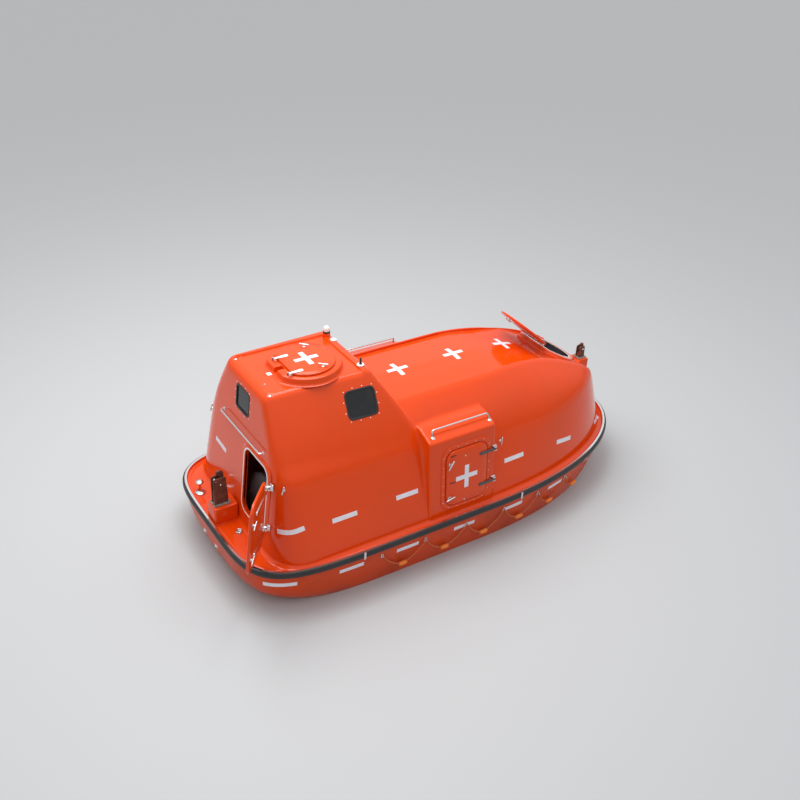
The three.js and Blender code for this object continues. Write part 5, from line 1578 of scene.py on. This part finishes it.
def add_drive():
    ahead = frame_at((0, 0, SHAFT_Z), (0, 1, 0), (1, 0, 0))
    piece("shaft_tube", turned([
        (0.0, -2.345), (0.02, -2.345), (0.02, -2.262), (0.024, -2.26), (0.026, -2.25), (0.026, -1.905),
        (0.0, -1.905)], ahead, 32), BRONZE, stands_for=("stern_tube",), slot="bronze")
    hub = turned([(0.0, -2.43), (0.012, -2.428), (0.022, -2.42), (0.028, -2.405), (0.03, -2.39),
                  (0.03, -2.352), (0.027, -2.3455), (0.0, -2.3455)], ahead, 32)
    blades, turns = [], np.linspace(0, 2 * math.pi, 33)[:-1]
    for i in range(BLADE["count"]):
        around = Matrix.Rotation(2 * math.pi / BLADE["count"] * i, 3, "X")
        about = np.array(around @ Matrix.Rotation(math.radians(BLADE["pitch"]), 3, "Y"))
        rows = []
        for share, high in ((0.9, -0.002), (0.97, -0.0035), (1.0, -0.001), (1.0, 0.001), (0.97, 0.0035),
                            (0.9, 0.002)):
            across = share * BLADE["wide"] * np.cos(turns)
            along = BLADE["middle"] + share * BLADE["long"] * np.sin(turns)
            thick = high * (1 + 1.2 * np.clip((0.1 - along) / 0.07, 0, 1))
            rows.append(np.column_stack([across, along, thick]) @ about.T + (BLADE["x"], 0, SHAFT_Z))
        blades.append(grid(rows, True))
    piece("bronze_propeller", joined(hub, *blades), BRONZE, body="propeller", stands_for=("propeller",),
          slot="bronze", crease=50)
    n = NOZZLE
    half, r, t = n["length"] / 2, n["inner"], n["thick"]
    section = [(r, -half + 0.004), (r + 0.006, -half), (r + t * 0.75, -half + 0.006), (r + t, -half + 0.05),
               (r + t, half - 0.03), (r + t * 0.8, half - 0.006), (r + 0.008, half),
               (r + 0.002, half - 0.006), (r, half - 0.03)]
    rows = [in_frame(hoop(radius, 56), n["x"] + x, ahead) for radius, x in section]
    at, top, low = standing(n["x"], 0, 0), SHAFT_Z + r + t, SHAFT_Z - r - 0.004
    stock = turned([(0.0, top - 0.006), (0.022, top - 0.006), (0.022, 0.058), (0.02, 0.06), (0.0, 0.06)],
                   at, 28)
    fin = rounded(n["x"] - 0.23, SHAFT_Z - r - 0.008, n["x"] - half + 0.004, SHAFT_Z + r + 0.008, 0.02, 5)
    fin = banked(fin, [(0.003, -0.006), (0, -0.004), (0, 0.004), (0.003, 0.006)], UPRIGHT)
    foot = KEEL_Z + 0.014
    pintle = turned([(0.0, foot), (0.012, foot), (0.012, low), (0.0, low)], at, 20)
    piece("nozzle_and_stock", joined(grid([*rows, rows[0]]), stock, fin, pintle), HULL_GELCOAT,
          body="steering", stands_for=("steering_nozzle",), slot="gelcoat", crease=45)


# Plain pale floor at the waterline, soft light and the photograph's camera
def add_camera():
    ahead = Vector((math.cos(YAW) * math.cos(PITCH), math.sin(YAW) * math.cos(PITCH), -math.sin(PITCH)))
    right = Vector((math.sin(YAW), -math.cos(YAW), 0))
    up = right.cross(ahead)
    side = math.cos(ROLL) * right + math.sin(ROLL) * up
    top = math.cos(ROLL) * up - math.sin(ROLL) * right
    data = bpy.data.cameras.new("photo_camera")
    data.sensor_width = SENSOR
    data.lens = FOCAL / PHOTO_SIDE * SENSOR
    data.shift_y = AXIS_BELOW_MIDDLE / PHOTO_SIDE
    camera = bpy.data.objects.new("photo_camera", data)
    camera.matrix_world = Matrix.Translation(EYE) @ Matrix((side, top, -ahead)).transposed().to_4x4()
    bpy.context.scene.collection.objects.link(camera)
    bpy.context.scene.camera = camera


def add_light(name, place, target, size, power):
    data = bpy.data.lights.new(name, "AREA")
    data.size = size
    data.energy = power
    lamp = bpy.data.objects.new(name, data)
    lamp.location = place
    lamp.rotation_euler = (Vector(target) - Vector(place)).to_track_quat("-Z", "Y").to_euler()
    bpy.context.scene.collection.objects.link(lamp)


def add_sky(tree):
    """Bright overhead, dimmer towards the horizon."""
    way = tree.nodes.new("ShaderNodeTexCoord").outputs["Generated"]
    split = wired(tree, "ShaderNodeSeparateXYZ", {0: way})
    up = between(tree, split.outputs["Z"], 0.05, 0.5)
    sky = tree.nodes["Background"].inputs
    put(tree, sky["Color"], mixed(tree, up, HORIZON, ZENITH))
    put(tree, sky["Strength"], 1.0)


FLOOR_SPAN = 400.0
FLOOR_GREY = (0.46, 0.47, 0.48)
HORIZON, ZENITH = (0.26, 0.28, 0.30), (1.0, 1.0, 1.0)
KEY_LIGHT = {"place": (-1.5, 1.5, 9.0), "target": (0, 0, 1), "size": 7.0, "power": 700.0}


def add_stage():
    corners = [(x * FLOOR_SPAN, y * FLOOR_SPAN, 0) for x, y in ((-1, -1), (1, -1), (1, 1), (-1, 1))]
    floor = make_object("floor", (np.array(corners), [(0, 1, 2, 3)]))
    pale = bpy.data.materials.new("pale_floor")
    pale.use_nodes = True
    shader = pale.node_tree.nodes["Principled BSDF"].inputs
    put(pale.node_tree, shader["Base Color"], FLOOR_GREY)
    put(pale.node_tree, shader["Roughness"], 0.6)
    floor.data.materials.append(pale)
    world = bpy.data.worlds.new("soft_sky")
    world.use_nodes = True
    add_sky(world.node_tree)
    bpy.context.scene.world = world
    add_light("key_light", **KEY_LIGHT)
    bpy.context.scene.view_settings.view_transform = "Standard"


# CAD nodes that keep their shape take a better finish
NODE_FINISHES = {
    LINER: ("seat_moulding",), ENGINE_PAINT: ("engine_block",), GREY_VINYL: ("engine_cover",),
    DARK_GLASS: tuple(row[0] for row in WINDOWS),
}


def finish_nodes():
    for material, names in NODE_FINISHES.items():
        for name in names:
            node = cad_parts[name]
            node.data.materials.clear()
            node.data.materials.append(material)


add_camera()
add_stage()
finish_nodes()
add_canopy()
add_hull()
add_deck()
add_fender()
add_tapes()
add_windows()
add_side_doors()
add_roof_hatch()
add_bow_hatch()
add_stern_door()
add_rails()
add_fittings()
add_hooks()
add_lifelines()
add_drive()
add_soft_pieces()
